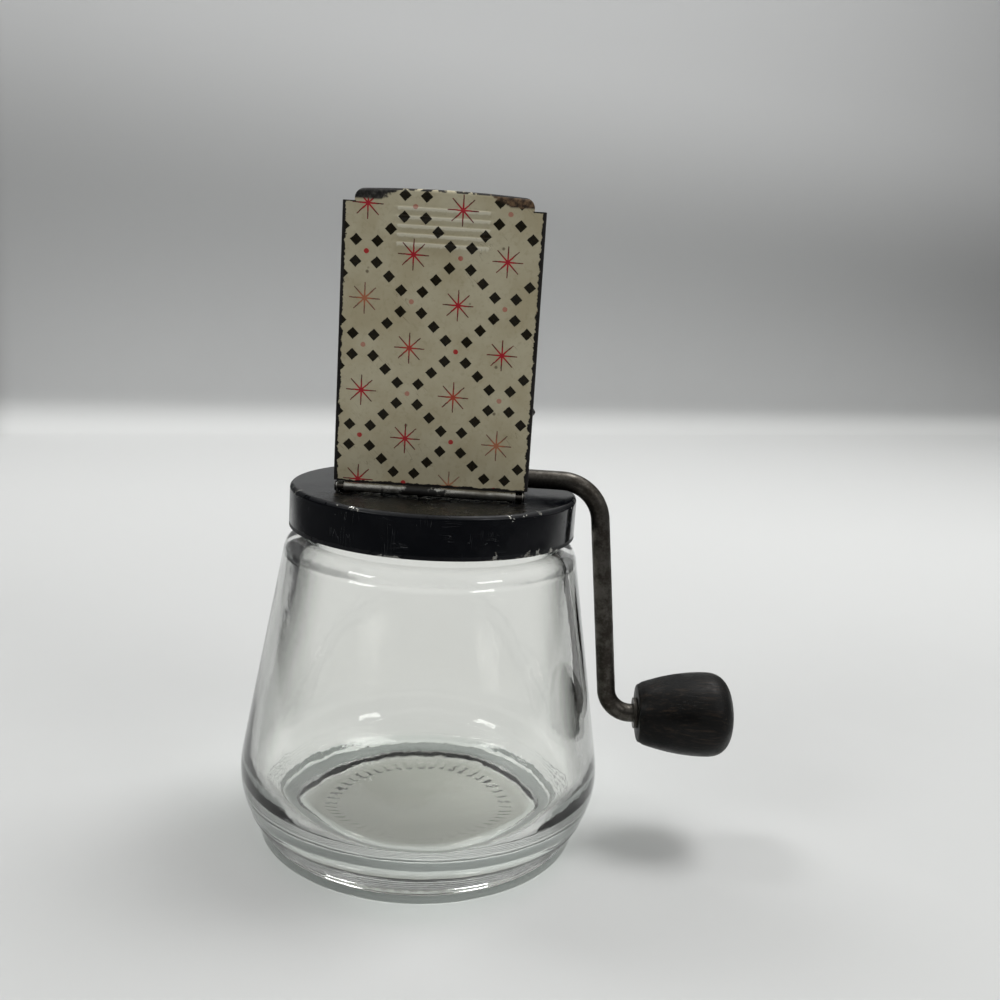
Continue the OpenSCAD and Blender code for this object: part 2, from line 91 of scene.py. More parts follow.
class Nodes:
    """Adds nodes to a tree and links them, so that a material reads as a list of steps."""

    def __init__(self, tree):
        self.tree = tree

    def feed(self, socket, value):
        if isinstance(value, bpy.types.NodeSocket):
            self.tree.links.new(value, socket)
        else:
            socket.default_value = value

    def add(self, kind, inputs=None, **settings):
        node = self.tree.nodes.new(kind)
        for name, value in settings.items():
            setattr(node, name, value)
        for name, value in (inputs or {}).items():
            self.feed(node.inputs[name], value)
        return node

    def math(self, operation, *values, kind="ShaderNodeMath"):
        return self.add(kind, dict(enumerate(values)), operation=operation).outputs[0]

    vector = partialmethod(math, kind="ShaderNodeVectorMath")
    plus = partialmethod(math, "ADD")
    minus = partialmethod(math, "SUBTRACT")
    times = partialmethod(math, "MULTIPLY")
    times_plus = partialmethod(math, "MULTIPLY_ADD")
    larger = partialmethod(math, "MAXIMUM")
    smaller = partialmethod(math, "MINIMUM")
    absolute = partialmethod(math, "ABSOLUTE")

    def hypotenuse(self, a, b):
        return self.math("SQRT", self.plus(self.times(a, a), self.times(b, b)))

    def mix(self, share, first, second):
        return self.add("ShaderNodeMix", {0: share, 6: first, 7: second}, data_type="RGBA").outputs[2]

    def fade(self, value, start, end, low=0.0, high=1.0):
        """A smooth step from low at start to high at end."""
        inputs = dict(enumerate((value, start, end, low, high)))
        return self.add("ShaderNodeMapRange", inputs, interpolation_type="SMOOTHSTEP").outputs[0]

    def split(self, vector):
        return self.add("ShaderNodeSeparateXYZ", {"Vector": vector}).outputs

    def join(self, x=0.0, y=0.0, z=0.0):
        return self.add("ShaderNodeCombineXYZ", {"X": x, "Y": y, "Z": z}).outputs[0]

    def noise(self, place, size, detail=2.0, rough=0.5, stretch=(1.0, 1.0, 1.0)):
        """Cloudy noise whose lumps are about size millimetres, longer where stretch is large."""
        scaled = self.vector("MULTIPLY", place, tuple(1 / (size * part) for part in stretch))
        inputs = {"Vector": scaled, "Scale": 1.0, "Detail": detail, "Roughness": rough}
        return self.add("ShaderNodeTexNoise", inputs).outputs["Fac"]

    def ragged(self, place, size, reach, detail=3.0, rough=0.6):
        """Noise about zero that moves a mask's edge in and out."""
        return self.times(self.minus(self.noise(place, size, detail, rough), 0.5), reach)

    def group(self, tree, **inputs):
        return self.add("ShaderNodeGroup", inputs, node_tree=tree).outputs

    def into(self, sockets):
        """A function that feeds one of the sockets by its name."""
        return lambda name, value: self.feed(sockets[name], value)

    def millimetres(self):
        """Object coordinates in millimetres."""
        place = self.add("ShaderNodeTexCoord").outputs["Object"]
        return self.vector("MULTIPLY", place, (1 / MM, 1 / MM, 1 / MM))

    def bump(self, height, depth_mm, strength):
        inputs = {"Height": height, "Distance": depth_mm * MM, "Strength": strength}
        return self.add("ShaderNodeBump", inputs).outputs[0]


def new_tree(name, kind, inputs, outputs):
    """A node group with sockets; returns it, its nodes, what it is given and a way to feed its outputs."""
    tree = bpy.data.node_groups.new(name, kind)
    for in_out, sockets in (("INPUT", inputs), ("OUTPUT", outputs)):
        for socket, socket_type in sockets.items():
            tree.interface.new_socket(socket, in_out=in_out, socket_type=socket_type)
    n = Nodes(tree)
    return tree, n, n.add("NodeGroupInput").outputs, n.into(n.add("NodeGroupOutput").inputs)


def shader_group(name, inputs, *outputs):
    return new_tree(name, "ShaderNodeTree", inputs, dict.fromkeys(outputs, FLOAT))


def edge_wear_group():
    """Ragged chips along an edge: Edge is the distance from it, Reach how far in a chip may go."""
    tree, n, given, put = shader_group(
        "edge wear", {"Place": VECTOR, "Edge": FLOAT, "Reach": FLOAT}, "Mask")
    broad = n.noise(given["Place"], 3.1, 2.0)
    fine = n.noise(given["Place"], 0.55, 3.0, 0.6)
    ragged = n.times_plus(fine, 0.55, broad)
    cluster = n.fade(n.noise(given["Place"], 17.0, 1.0), 0.44, 0.62)
    bite = n.times(n.minus(ragged, 0.80), n.times(given["Reach"], 4.0))
    bite = n.times(bite, cluster)
    put("Mask", n.fade(n.minus(given["Edge"], bite), 0.06, -0.06))
    return tree


def scratch_group():
    """Thin broken scratches along a direction: Along is the place stretched by the caller."""
    tree, n, given, put = shader_group(
        "fine scratches", {"Along": VECTOR, "Place": VECTOR, "Width": FLOAT}, "Mask")
    aside = n.absolute(n.minus(n.noise(given["Along"], 1.0, 1.0), 0.5))
    kept = n.fade(n.noise(given["Place"], 6.5, 2.0), 0.56, 0.66)
    put("Mask", n.times(n.fade(aside, given["Width"], 0.0), kept))
    return tree


def smudge_group():
    """Soft uneven patches, from 0 to 1, as handling leaves on a shiny face."""
    tree, n, given, put = shader_group("handling smudges", {"Place": VECTOR, "Size": FLOAT}, "Value")
    place = n.vector("DIVIDE", given["Place"], given["Size"])
    broad = n.noise(place, 1.0, 4.0, 0.55)
    fine = n.noise(place, 0.13, 2.0, 0.5)
    put("Value", n.fade(n.times_plus(fine, 0.25, broad), 0.42, 0.82))
    return tree


def speck_group():
    """Scattered round specks: Size is the spacing, Share how many of the cells hold one."""
    tree, n, given, put = shader_group("specks", {"Place": VECTOR, "Size": FLOAT, "Share": FLOAT}, "Mask")
    place = n.vector("DIVIDE", given["Place"], given["Size"])
    cells = n.add("ShaderNodeTexVoronoi", {"Vector": place, "Scale": 1.0})
    draw = n.split(cells.outputs["Color"])
    radius = n.times(draw[1], 0.20)
    inside = n.fade(n.minus(cells.outputs["Distance"], radius), 0.04, -0.04)
    put("Mask", n.times(inside, n.math("LESS_THAN", draw[0], given["Share"])))
    return tree


# The print: stars on every other place of a lattice, dots between them, diamonds on the diagonals
STAR_X, STAR_Z = -17.29, 157.25
LATTICE_W, LATTICE_H, LATTICE_TURN = 10.77, 10.55, 0.0173
STAR_R, STAR_ROOT, STAR_TAPER = 3.55, 0.22, 0.030
DOT_R = 0.58
DIAMOND_HALF, DIAMOND_NEAR = 0.066, 0.227
PRINT_EDGE = 0.05


def lattice_group():
    """Masks of the printed diamonds, stars and dots, with a star's radius and its own random number."""
    tree, n, given, put = shader_group(
        "lattice print", {"Across": FLOAT, "Up": FLOAT}, "Diamond", "Star", "Reach", "Dot", "Draw")
    from_star = n.minus(given["Across"], STAR_X)
    across = n.math("DIVIDE", from_star, 2 * LATTICE_W)
    level = n.times_plus(from_star, LATTICE_TURN, given["Up"])
    up = n.math("DIVIDE", n.minus(level, STAR_Z), 2 * LATTICE_H)
    first, second = n.plus(across, up), n.minus(across, up)
    first_star, second_star = n.math("ROUND", first), n.math("ROUND", second)
    a, b = n.minus(first, first_star), n.minus(second, second_star)
    du = n.times(n.plus(a, b), LATTICE_W)
    dv = n.times(n.minus(a, b), LATTICE_H)
    reach = n.hypotenuse(du, dv)
    ray = n.math("DIVIDE", n.math("ARCTAN2", dv, du), pi / 4)
    off = n.times(n.minus(ray, n.math("ROUND", ray)), pi / 4)
    aside = n.absolute(n.times(reach, n.math("SINE", off)))
    width = n.minus(STAR_ROOT, n.times(reach, STAR_TAPER))
    in_ray = n.fade(n.minus(aside, width), PRINT_EDGE, -PRINT_EDGE)
    put("Star", n.times(in_ray, n.fade(reach, STAR_R + PRINT_EDGE, STAR_R - PRINT_EDGE)))
    put("Reach", reach)
    number = n.join(first_star, second_star, 3.0)
    cell = n.add("ShaderNodeTexWhiteNoise", {"Vector": number}, noise_dimensions="3D")
    put("Draw", cell.outputs["Value"])
    from_dot_a = n.minus(0.5, n.absolute(a))
    from_dot_b = n.minus(0.5, n.absolute(b))
    from_dot = n.times(n.hypotenuse(from_dot_a, from_dot_b), LATTICE_W * sqrt(2))
    put("Dot", n.fade(from_dot, DOT_R + PRINT_EDGE, DOT_R - PRINT_EDGE))
    sides = []
    for along, beside in ((from_dot_a, from_dot_b), (from_dot_b, from_dot_a)):
        near = n.absolute(n.minus(along, DIAMOND_NEAR))
        middle = n.absolute(n.minus(along, 0.5))
        sides.append(n.larger(n.smaller(near, middle), beside))
    edge = PRINT_EDGE / (2 * LATTICE_W)
    nearest = n.smaller(*sides)
    put("Diamond", n.fade(nearest, DIAMOND_HALF + edge, DIAMOND_HALF - edge))
    return tree


EDGE_WEAR = edge_wear_group()
SCRATCHES = scratch_group()
SMUDGES = smudge_group()
SPECKS = speck_group()
LATTICE = lattice_group()


def new_material(name):
    """A new material; returns it, its nodes, a way to feed its shader and the place in millimetres."""
    material = bpy.data.materials.new(name)
    material.use_nodes = True
    n = Nodes(material.node_tree)
    return material, n, n.into(n.tree.nodes["Principled BSDF"].inputs), n.millimetres()


def radius_of(n, place):
    """A place's distance from the Z axis, and its height."""
    x, y, z = n.split(place)
    return n.hypotenuse(x, y), z


# Sizes of the jar
JAR_STEPS = 336
HEEL_ROUND, HEEL_Z = 21.0, 17.4
FOOT_H, FOOT_ROUND, FOOT_RING, FOOT_STEP = 4.2, 1.0, 7.0, 0.45
PUSH_UP, FLOOR_T, FLOOR_ROUND = 1.2, 5.2, 15.0
SHOULDER_C, SHOULDER_ROUND = (32.55, 73.7), 4.5
INNER_SHOULDER_ROUND, SHOULDER_GLASS, GLASS_WALL = 4.6, 2.6, 4.0
NECK_R, NECK_BORE, RIM_ROUND = 33.0, 29.8, 0.9
SIDE_LEAN = 9.79
RIDGE_Z, RIDGE_OUT, RIDGE_W, RIDGE_SPAN, RIDGE_COUNT, RIDGE_RISE = 82.7, 1.1, 1.4, 66.0, 4, 12.8
TICK_COUNT, TICK_IN, TICK_OUT, TICK_DEPTH, TICK_HALF, TICK_SOFT = 48, 22.0, 25.5, 0.16, 0.31, 0.13
WAVE = 0.13
RING_SPAN, RING_COUNT, RING_OUT, RING_ROWS = 13.0, 5, 0.13, 56

# What the glass lets through: most of it; its side edge-on, darkened as painted shade; its base, darkened
# as a painted shadow; and its shadow
GLASS_TINT = (0.972, 0.975, 0.958, 1.0)
EDGE_ON_PAINTED_SHADE, SIDE_FROM, SIDE_FULL = (0.32, 0.33, 0.315, 1.0), 10.0, 24.0
BASE_PAINTED_SHADOW, BASE_FROM_R, BASE_FULL_R = (0.63, 0.615, 0.585, 1.0), 33.0, 29.0
SHADOW_TINT = (0.86, 0.88, 0.87, 1.0)


def clear_glass():
    """Pressed glass, faintly green, with the slow ripple of a mould; lamps shine through it."""
    material, n, put, place = new_material("clear glass")
    edge_on = n.add("ShaderNodeLayerWeight", {"Blend": 0.5}).outputs["Facing"]
    upward = n.absolute(n.split(n.add("ShaderNodeNewGeometry").outputs["Normal"])[2])
    radius, height = radius_of(n, place)
    # Painted shade: the glass is tinted dark where it is seen edge-on, from above the foot upwards
    edge_on_painted_shade = n.times(n.fade(edge_on, 0.38, 0.74), n.fade(upward, 0.45, 0.3))
    edge_on_painted_shade = n.times(edge_on_painted_shade, n.fade(height, SIDE_FROM, SIDE_FULL))
    # Painted shadow: the base is tinted grey, standing for the shadow under the jar seen through it
    in_base = n.fade(height, FLOOR_T + 0.6, FLOOR_T + 0.2)
    base = n.times(n.fade(radius, BASE_FROM_R, BASE_FULL_R), in_base)
    put("Base Color", n.mix(edge_on_painted_shade, n.mix(base, GLASS_TINT, BASE_PAINTED_SHADOW), EDGE_ON_PAINTED_SHADE))
    put("Transmission Weight", 1.0)
    put("IOR", 1.5)
    ripple = n.noise(place, 9.0, 1.5, 0.4, (1.0, 1.0, 2.2))
    mould = n.noise(place, 2.2, 2.0, 0.5)
    put("Normal", n.bump(n.times_plus(mould, 0.12, ripple), 0.22, 0.6))
    dust = n.group(SMUDGES, Place=place, Size=22.0)["Value"]
    put("Roughness", n.fade(dust, 0.35, 1.0, 0.0, 0.045))
    passing = n.add("ShaderNodeBsdfTransparent", {"Color": SHADOW_TINT}).outputs[0]
    for_shadow = n.add("ShaderNodeLightPath").outputs["Is Shadow Ray"]
    seen = n.tree.nodes["Principled BSDF"].outputs[0]
    both = n.add("ShaderNodeMixShader", {0: for_shadow, 1: seen, 2: passing}).outputs[0]
    n.feed(n.tree.nodes["Material Output"].inputs["Surface"], both)
    return material


def bare_tin_colour(n, place):
    """Colour and roughness of bare tinplate with grey blooms and a few rust freckles."""
    bloom = n.noise(place, 5.0, 4.0, 0.6)
    colour = n.mix(n.fade(bloom, 0.35, 0.7), tone(196, 196, 190), tone(128, 124, 114))
    freckles = n.group(SPECKS, Place=place, Size=1.6, Share=0.16)["Mask"]
    colour = n.mix(n.times(freckles, 0.7), colour, tone(92, 62, 40))
    rough = n.fade(bloom, 0.3, 0.75, 0.20, 0.46)
    return colour, rough


# The dirty stretch of the door's rolled edge
ROLL_DIRT_X, ROLL_DIRT_IN, ROLL_DIRT_OUT = -2.5, 3.0, 6.5


def bare_tin():
    material, n, put, place = new_material("bare tin")
    colour, rough = bare_tin_colour(n, place)
    x, y, z = n.split(place)
    from_middle = n.absolute(n.minus(x, ROLL_DIRT_X))
    grimy = n.fade(n.plus(from_middle, n.ragged(place, 2.6, 26.0)), ROLL_DIRT_OUT, ROLL_DIRT_IN)
    on_roll = n.times(n.math("LESS_THAN", z, DOOR_LOW), n.math("LESS_THAN", y, DOOR_FRONT + SHEET_T))
    dark = n.times(grimy, on_roll)
    put("Base Color", n.mix(dark, colour, tone(20, 18, 16)))
    put("Roughness", n.times_plus(dark, 0.3, rough))
    put("Metallic", n.minus(1.0, dark))
    drawn = n.noise(place, 0.5, 2.0, 0.5, (30.0, 1.0, 1.0))
    crumpled = n.noise(place, 1.6, 2.0, 0.55, (2.6, 1.0, 1.0))
    put("Normal", n.bump(n.times_plus(crumpled, 14.0, drawn), 0.02, 0.7))
    return material


def black_paint(parts, bare_inside, from_edge, reach, grime):
    """Gloss navy-black paint on tin, from a new material's parts. bare_inside masks the bare inner faces,
    from_edge is the distance from the nearest worn edge, and grime masks caked dirt."""
    material, n, put, place = parts
    dull = n.times(n.fade(from_edge, 1.3, 0.75), n.fade(n.noise(place, 3.0, 2.0), 0.68, 0.55))
    put("Specular IOR Level", 0.25)
    chips = n.group(EDGE_WEAR, Place=place, Edge=from_edge, Reach=reach)["Mask"]
    specks = n.group(SPECKS, Place=place, Size=2.6, Share=0.025)["Mask"]
    long_lines = n.vector("MULTIPLY", place, (0.9, 0.9, 0.16))
    upright = n.group(SCRATCHES, Along=long_lines, Place=place, Width=0.008)["Mask"]
    flat_lines = n.vector("MULTIPLY", place, (0.14, 0.14, 1.3))
    elsewhere = n.vector("ADD", place, (31.0, 7.0, 3.0))
    level = n.group(SCRATCHES, Along=flat_lines, Place=elsewhere, Width=0.005)["Mask"]
    scratches = n.larger(upright, level)
    through = n.larger(n.larger(chips, specks), bare_inside)
    metal, metal_rough = bare_tin_colour(n, place)
    smudges = n.group(SMUDGES, Place=place, Size=16.0)["Value"]
    paint = n.mix(smudges, tone(5, 7, 12), tone(13, 15, 19))
    paint = n.mix(n.times(scratches, 0.7), paint, tone(104, 106, 108))
    crumbs = n.noise(place, 1.5, 5.0, 0.7)
    dirt = n.times(grime, n.fade(crumbs, 0.36, 0.5, 0.35, 1.0))
    paint = n.mix(dirt, paint, n.mix(n.fade(crumbs, 0.56, 0.68), tone(5, 5, 5), tone(66, 58, 48)))
    put("Base Color", n.mix(through, paint, metal))
    put("Metallic", through)
    paint_rough = n.fade(smudges, 0.0, 1.0, 0.09, 0.24)
    paint_rough = n.times_plus(scratches, 0.25, paint_rough)
    paint_rough = n.times_plus(dirt, 0.13, paint_rough)
    paint_rough = n.times_plus(dull, 0.3, paint_rough)
    rough = n.add("ShaderNodeMix", {0: through, 2: paint_rough, 3: metal_rough}, data_type="FLOAT")
    put("Roughness", rough.outputs[0])
    orange_peel = n.noise(place, 0.9, 1.0)
    height = n.minus(n.times(orange_peel, 0.12), n.larger(through, scratches))
    height = n.times_plus(n.times(crumbs, dirt), 1.2, height)
    put("Normal", n.bump(height, 0.05, 0.7))
    return material


def inner_side(n, past_a, past_b, corner):
    """A mask of a bent sheet's inner side; past_a and past_b are distances past where its corner starts."""
    out_a, out_b = n.larger(past_a, 0.0), n.larger(past_b, 0.0)
    within = n.smaller(n.larger(past_a, past_b), 0.0)
    depth = n.minus(corner, n.plus(n.hypotenuse(out_a, out_b), within))
    return n.math("GREATER_THAN", depth, SHEET_T / 2)


# Rounded corners of the cap and the hopper, where the hopper's sides end in front, and how far the tabs
# under the cap reach past the hopper's walls
CAP_CORNER, HOPPER_CORNER = 1.2, 2.0
HOPPER_FRONT = -14.45
TAB_OUT = 2.4


def cap_paint():
    low, high = box_mm("screw_cap")
    parts = new_material("black paint of the cap")
    _, n, _, place = parts
    x, y, _ = n.split(place)
    radius, z = radius_of(n, place)
    past_side, past_top = n.minus(radius, high.x - CAP_CORNER), n.minus(z, high.z - CAP_CORNER)
    inside = inner_side(n, past_side, past_top, CAP_CORNER)

    # The top edge wears a little less than the lower one
    down = n.larger(n.minus(high.x, radius), n.minus(high.z, z))
    from_top = n.plus(n.times(down, 1.2), 0.12)
    from_edge = n.smaller(n.plus(n.minus(z, low.z), 0.1), from_top)

    # Dirt on the top, in front of the door
    ragged = n.ragged(place, 4.0, 9.0)
    before = n.fade(n.plus(y, ragged), -14.0, -18.0)
    between = n.fade(n.plus(n.absolute(x), ragged), 27.0, 21.0)
    grime = n.times(n.times(before, between), n.fade(z, high.z - 0.2, high.z - 0.05))
    return black_paint(parts, inside, from_edge, 2.8, grime)


def hopper_paint():
    low, high = box_mm("hopper_wrap")
    parts = new_material("black paint of the hopper")
    _, n, _, place = parts
    x, y, z = n.split(place)
    past_side = n.minus(n.absolute(x), high.x - TAB_OUT - HOPPER_CORNER)
    past_back = n.minus(y, high.y - TAB_OUT - HOPPER_CORNER)
    inside = inner_side(n, past_side, past_back, HOPPER_CORNER)
    from_edge = n.smaller(n.minus(high.z, z), n.absolute(n.minus(y, HOPPER_FRONT)))

    # Dirt along the foot
    grime = n.fade(n.plus(z, n.ragged(place, 3.0, 6.0)), low.z + 5.0, low.z + 1.5)
    return black_paint(parts, inside, from_edge, 0.5, grime)


# The door's places, from its CAD node and its hinge, and its own sizes
door_low_corner, door_high_corner = box_mm("hopper_door")
HINGE, _ = joint_place("door_swing")
CURL_R = HINGE.y - door_low_corner.y
CURL_IN = CURL_R - SHEET_T
DOOR_FRONT = HINGE.y + CURL_IN
DOOR_HALF = -door_low_corner.x
ROLL_GAP, ROLL_TURN, OVER_HOPPER = 0.2, 305, 0.4
DOOR_LOW = HINGE.z + CURL_R + ROLL_GAP
DOOR_CORNER_Z = box_mm("hopper_wrap")[1].z + OVER_HOPPER
DOOR_FLANGE = 5.7
DOOR_FOLD = 0.75
TOP_HALF = 20.35
TOP_Z = door_high_corner.z
TOP_BACK = door_high_corner.y
TOP_CROWN, TOP_END_ROUND, TOP_FRONT_ROUND, TOP_BACK_ROUND = 0.7, 2.2, 1.0, 1.0
TOP_FLANGE = 6.0
GRIP_FIRST_Z, GRIP_PITCH, GRIP_COUNT, GRIP_HALF, GRIP_OUT = 157.2, 1.95, 5, 11.1, 0.4
DIMPLE_Y, DIMPLE_Z, DIMPLE_R, DIMPLE_OUT = DOOR_FRONT + 2.85, 112.15, 1.2, 0.58

# Where the top's ends are worn: the height it starts at, then slope and start of the left and right lines
WORN_Z = 158.5
LEFT_WORN, RIGHT_WORN = (1.9, -14.0), (-2.0, 14.2)


def printed_tin():
    """Cream enamel with the printed lattice, black borders, and the stains, rust and scratches of use."""
    material, n, put, place = new_material("printed tin")
    put("Specular IOR Level", 0.32)
    x, y, z = n.split(place)
    wobble = n.ragged(place, 0.8, 0.22, 2.0, 0.5)
    across = n.plus(x, wobble)
    past_front = n.larger(n.minus(y, DOOR_FRONT), 0.0)
    up = n.plus(z, past_front)
    up_print = n.minus(up, wobble)
    marks = n.group(LATTICE, Across=across, Up=up_print)

    clouds = n.noise(place, 14.0, 4.0, 0.6)
    mottle = n.noise(place, 1.1, 3.0, 0.6)
    cream = n.mix(n.fade(clouds, 0.35, 0.68), tone(199, 192, 165), tone(184, 174, 144))
    cream = n.mix(n.times(n.fade(mottle, 0.5, 0.75), 0.35), cream, tone(160, 148, 117))
    specks = n.group(SPECKS, Place=place, Size=3.4, Share=0.14)["Mask"]
    cream = n.mix(n.times(specks, 0.7), cream, tone(74, 58, 40))
    # Painted highlight: the cream is lightened along the upper lips of the pressed ridges
    grip_line = n.minus(n.minus(DOOR_FRONT, y), GRIP_OUT * 0.45)
    ridge_highlight = n.fade(n.plus(grip_line, n.times(n.minus(mottle, 0.5), 0.3)), 0.0, 0.15)
    ridge_highlight = n.times(ridge_highlight, n.math("GREATER_THAN", z, DOOR_LOW + 10))
    cream = n.mix(n.times(ridge_highlight, 0.7), cream, tone(232, 228, 208))
    ink = n.noise(place, 0.45, 2.0, 0.6)
    diamond = n.times(marks["Diamond"], n.fade(ink, 0.14, 0.26))
    face = n.mix(diamond, cream, n.mix(n.fade(ink, 0.4, 0.7), tone(20, 16, 4), tone(38, 31, 14)))
    red = n.mix(n.fade(marks["Draw"], 0.55, 0.9), tone(178, 38, 50), tone(176, 100, 62))
    tip = n.mix(n.fade(ink, 0.35, 0.65), tone(64, 32, 28), tone(128, 44, 46))
    ray = n.mix(n.fade(marks["Reach"], 0.9, 2.6), red, tip)
    shown = n.fade(marks["Draw"], 1.0, 0.7, 0.55, 1.0)
    face = n.mix(n.times(marks["Star"], shown), face, ray)
    dot_ink = n.fade(n.noise(place, 7.0, 1.0), 0.36, 0.55, 0.55, 1.0)
    face = n.mix(n.times(marks["Dot"], dot_ink), face, tone(178, 52, 52))

    # Thin brown scratches on the front
    slanted = n.vector("MULTIPLY", n.vector("ADD", place, n.join(z, 0.0, 0.0)), (0.55, 1.0, 0.08))
    lines = n.group(SCRATCHES, Along=slanted, Place=place, Width=0.007)["Mask"]
    face = n.mix(n.times(lines, 0.45), face, tone(84, 58, 40))

    # Ends of the top: grey where the paint is gone on the left, rust on the right
    rise = n.minus(up, WORN_Z)
    patchy = n.ragged(place, 2.0, 7.0, 4.0, 0.65)
    on_top = n.fade(up, WORN_Z - 0.6, WORN_Z)
    left_line = n.times_plus(rise, *LEFT_WORN)
    left = n.fade(n.plus(n.minus(x, left_line), patchy), 0.7, -0.7)
    grey = n.mix(n.fade(mottle, 0.4, 0.75), tone(24, 23, 22), tone(78, 76, 72))
    face = n.mix(n.times(left, on_top), face, grey)
    right_line = n.times_plus(rise, *RIGHT_WORN)
    right = n.fade(n.plus(n.minus(x, right_line), patchy), -0.8, 0.8)
    rust = n.mix(n.fade(mottle, 0.35, 0.7), tone(44, 33, 24), tone(124, 98, 72))
    rusted = n.times(right, on_top)
    face = n.mix(rusted, face, rust)
    gone = n.times_plus(n.absolute(x), 0.012, n.noise(place, 2.4, 3.0, 0.6))
    fold = n.times(n.fade(gone, 0.50, 0.58), n.fade(up, TOP_Z - 0.75, TOP_Z - 0.45))
    face = n.mix(fold, face, tone(26, 24, 22))

    # Black borders with a ragged inner line, and black side flanges
    from_side = n.minus(DOOR_HALF, n.absolute(x))
    ragged = n.ragged(place, 1.5, 1.7)
    border = n.fade(n.plus(from_side, ragged), 0.98, 0.80)
    below_top = n.math("LESS_THAN", z, DOOR_CORNER_Z + 0.05)
    border = n.times(border, below_top)
    from_foot = n.plus(n.minus(z, DOOR_LOW), n.times(ragged, 0.6))
    border = n.larger(border, n.fade(from_foot, 0.4, 0.25))
    from_corner = n.minus(DOOR_CORNER_Z, n.plus(z, n.times(ragged, 0.3)))
    at_corner = n.times(n.fade(from_corner, 0.34, 0.22), n.fade(from_side, 3.2, 2.9))
    border = n.larger(border, n.times(at_corner, below_top))
    face = n.mix(border, face, n.mix(mottle, tone(16, 15, 15), tone(34, 30, 27)))
    on_flange = n.larger(n.minus(past_front, DOOR_FOLD), 0.0)
    from_fold = n.plus(from_side, on_flange)
    chips = n.group(EDGE_WEAR, Place=place, Edge=from_fold, Reach=0.22)["Mask"]
    metal, _ = bare_tin_colour(n, place)
    put("Base Color", n.mix(chips, face, metal))
    put("Metallic", n.times(chips, 0.9))
    smudges = n.group(SMUDGES, Place=place, Size=12.0)["Value"]
    rough = n.fade(smudges, 0.0, 1.0, 0.30, 0.52)
    put("Roughness", n.times_plus(rusted, 0.3, rough))
    dents = n.noise(place, 13.0, 1.0)
    height = n.times_plus(mottle, 0.03, n.times(dents, 0.6))
    put("Normal", n.bump(n.minus(height, n.times(chips, 0.06)), 0.35, 0.6))
    return material


def worn_steel(name, light, dark, rough_low, rough_high, rust_share):
    """Drawn or pressed steel with cloudy tarnish, fine lines and rust freckles."""
    material, n, put, place = new_material(name)
    clouds = n.noise(place, 4.0, 5.0, 0.62)
    fine = n.noise(place, 0.6, 3.0, 0.6)
    tarnish = n.fade(n.times_plus(fine, 0.35, clouds), 0.48, 0.86)
    colour = n.mix(tarnish, light, dark)
    freckles = n.group(SPECKS, Place=place, Size=1.2, Share=rust_share)["Mask"]
    colour = n.mix(n.times(freckles, 0.7), colour, tone(70, 46, 32))
    drawn = n.vector("MULTIPLY", place, (0.2, 1.2, 1.2))
    lines = n.group(SCRATCHES, Along=drawn, Place=place, Width=0.01)["Mask"]
    colour = n.mix(n.times(lines, 0.4), colour, light)
    put("Base Color", colour)
    put("Metallic", 1.0)
    put("Roughness", n.fade(tarnish, 0.0, 1.0, rough_low, rough_high))
    height = n.minus(fine, n.times(lines, 0.6))
    put("Normal", n.bump(height, 0.035, 0.5))
    return material


def brass():
    material, n, put, place = new_material("bush brass")
    clouds = n.noise(place, 2.0, 4.0, 0.6)
    put("Base Color", n.mix(n.fade(clouds, 0.35, 0.7), tone(190, 158, 92), tone(120, 92, 52)))
    put("Metallic", 1.0)
    put("Roughness", n.fade(clouds, 0.3, 0.7, 0.24, 0.45))
    tool_lines = n.noise(place, 0.25, 2.0, 0.5, (1.0, 8.0, 8.0))
    put("Normal", n.bump(tool_lines, 0.02, 0.4))
    return material


def seal_rubber():
    material, n, put, place = new_material("cream seal")
    clouds = n.noise(place, 6.0, 4.0, 0.6)
    put("Base Color", n.mix(clouds, tone(206, 196, 168), tone(174, 160, 128)))
    put("Roughness", n.fade(clouds, 0.3, 0.7, 0.6, 0.8))
    grain = n.noise(place, 0.35, 3.0, 0.6)
    put("Normal", n.bump(grain, 0.04, 0.6))
    return material


def stained_wood():
    """Black-stained turned wood, rubbed brown in streaks along the grain, which runs along X."""
    material, n, put, place = new_material("stained wood")
    put("Specular IOR Level", 0.18)
    streak = n.noise(place, 0.55, 4.0, 0.62, (14.0, 1.0, 1.0))
    broad = n.noise(place, 3.2, 3.0, 0.55, (4.0, 1.0, 1.0))
    pores = n.noise(place, 0.28, 2.0, 0.5, (18.0, 1.0, 1.0))
    rubbed = n.times(n.fade(streak, 0.48, 0.68), n.fade(broad, 0.36, 0.62))
    black = n.mix(n.fade(broad, 0.3, 0.7), tone(5, 5, 5), tone(11, 11, 10))
    colour = n.mix(n.times(rubbed, 0.6), black, tone(54, 43, 34))
    put("Base Color", colour)
    smudges = n.group(SMUDGES, Place=place, Size=7.0)["Value"]
    put("Roughness", n.fade(smudges, 0.0, 1.0, 0.36, 0.56))
    height = n.plus(n.fade(pores, 0.40, 0.30, 0.0, -0.7), n.times(streak, 0.4))
    put("Normal", n.bump(height, 0.07, 0.6))
    return material


GLASS = clear_glass()
BARE_TIN = bare_tin()
PRINTED_TIN = printed_tin()
DARK_STEEL = worn_steel("dark steel", tone(98, 95, 90), tone(62, 58, 53), 0.36, 0.52, 0.08)
BRIGHT_STEEL = worn_steel("bright steel", tone(190, 190, 187), tone(128, 126, 121), 0.22, 0.42, 0.05)
WOOD = stained_wood()


# Meshes

def linked(name, data):
    """An object in the scene, at the origin."""
    obj = bpy.data.objects.new(name, data)
    bpy.context.scene.collection.objects.link(obj)
    return obj


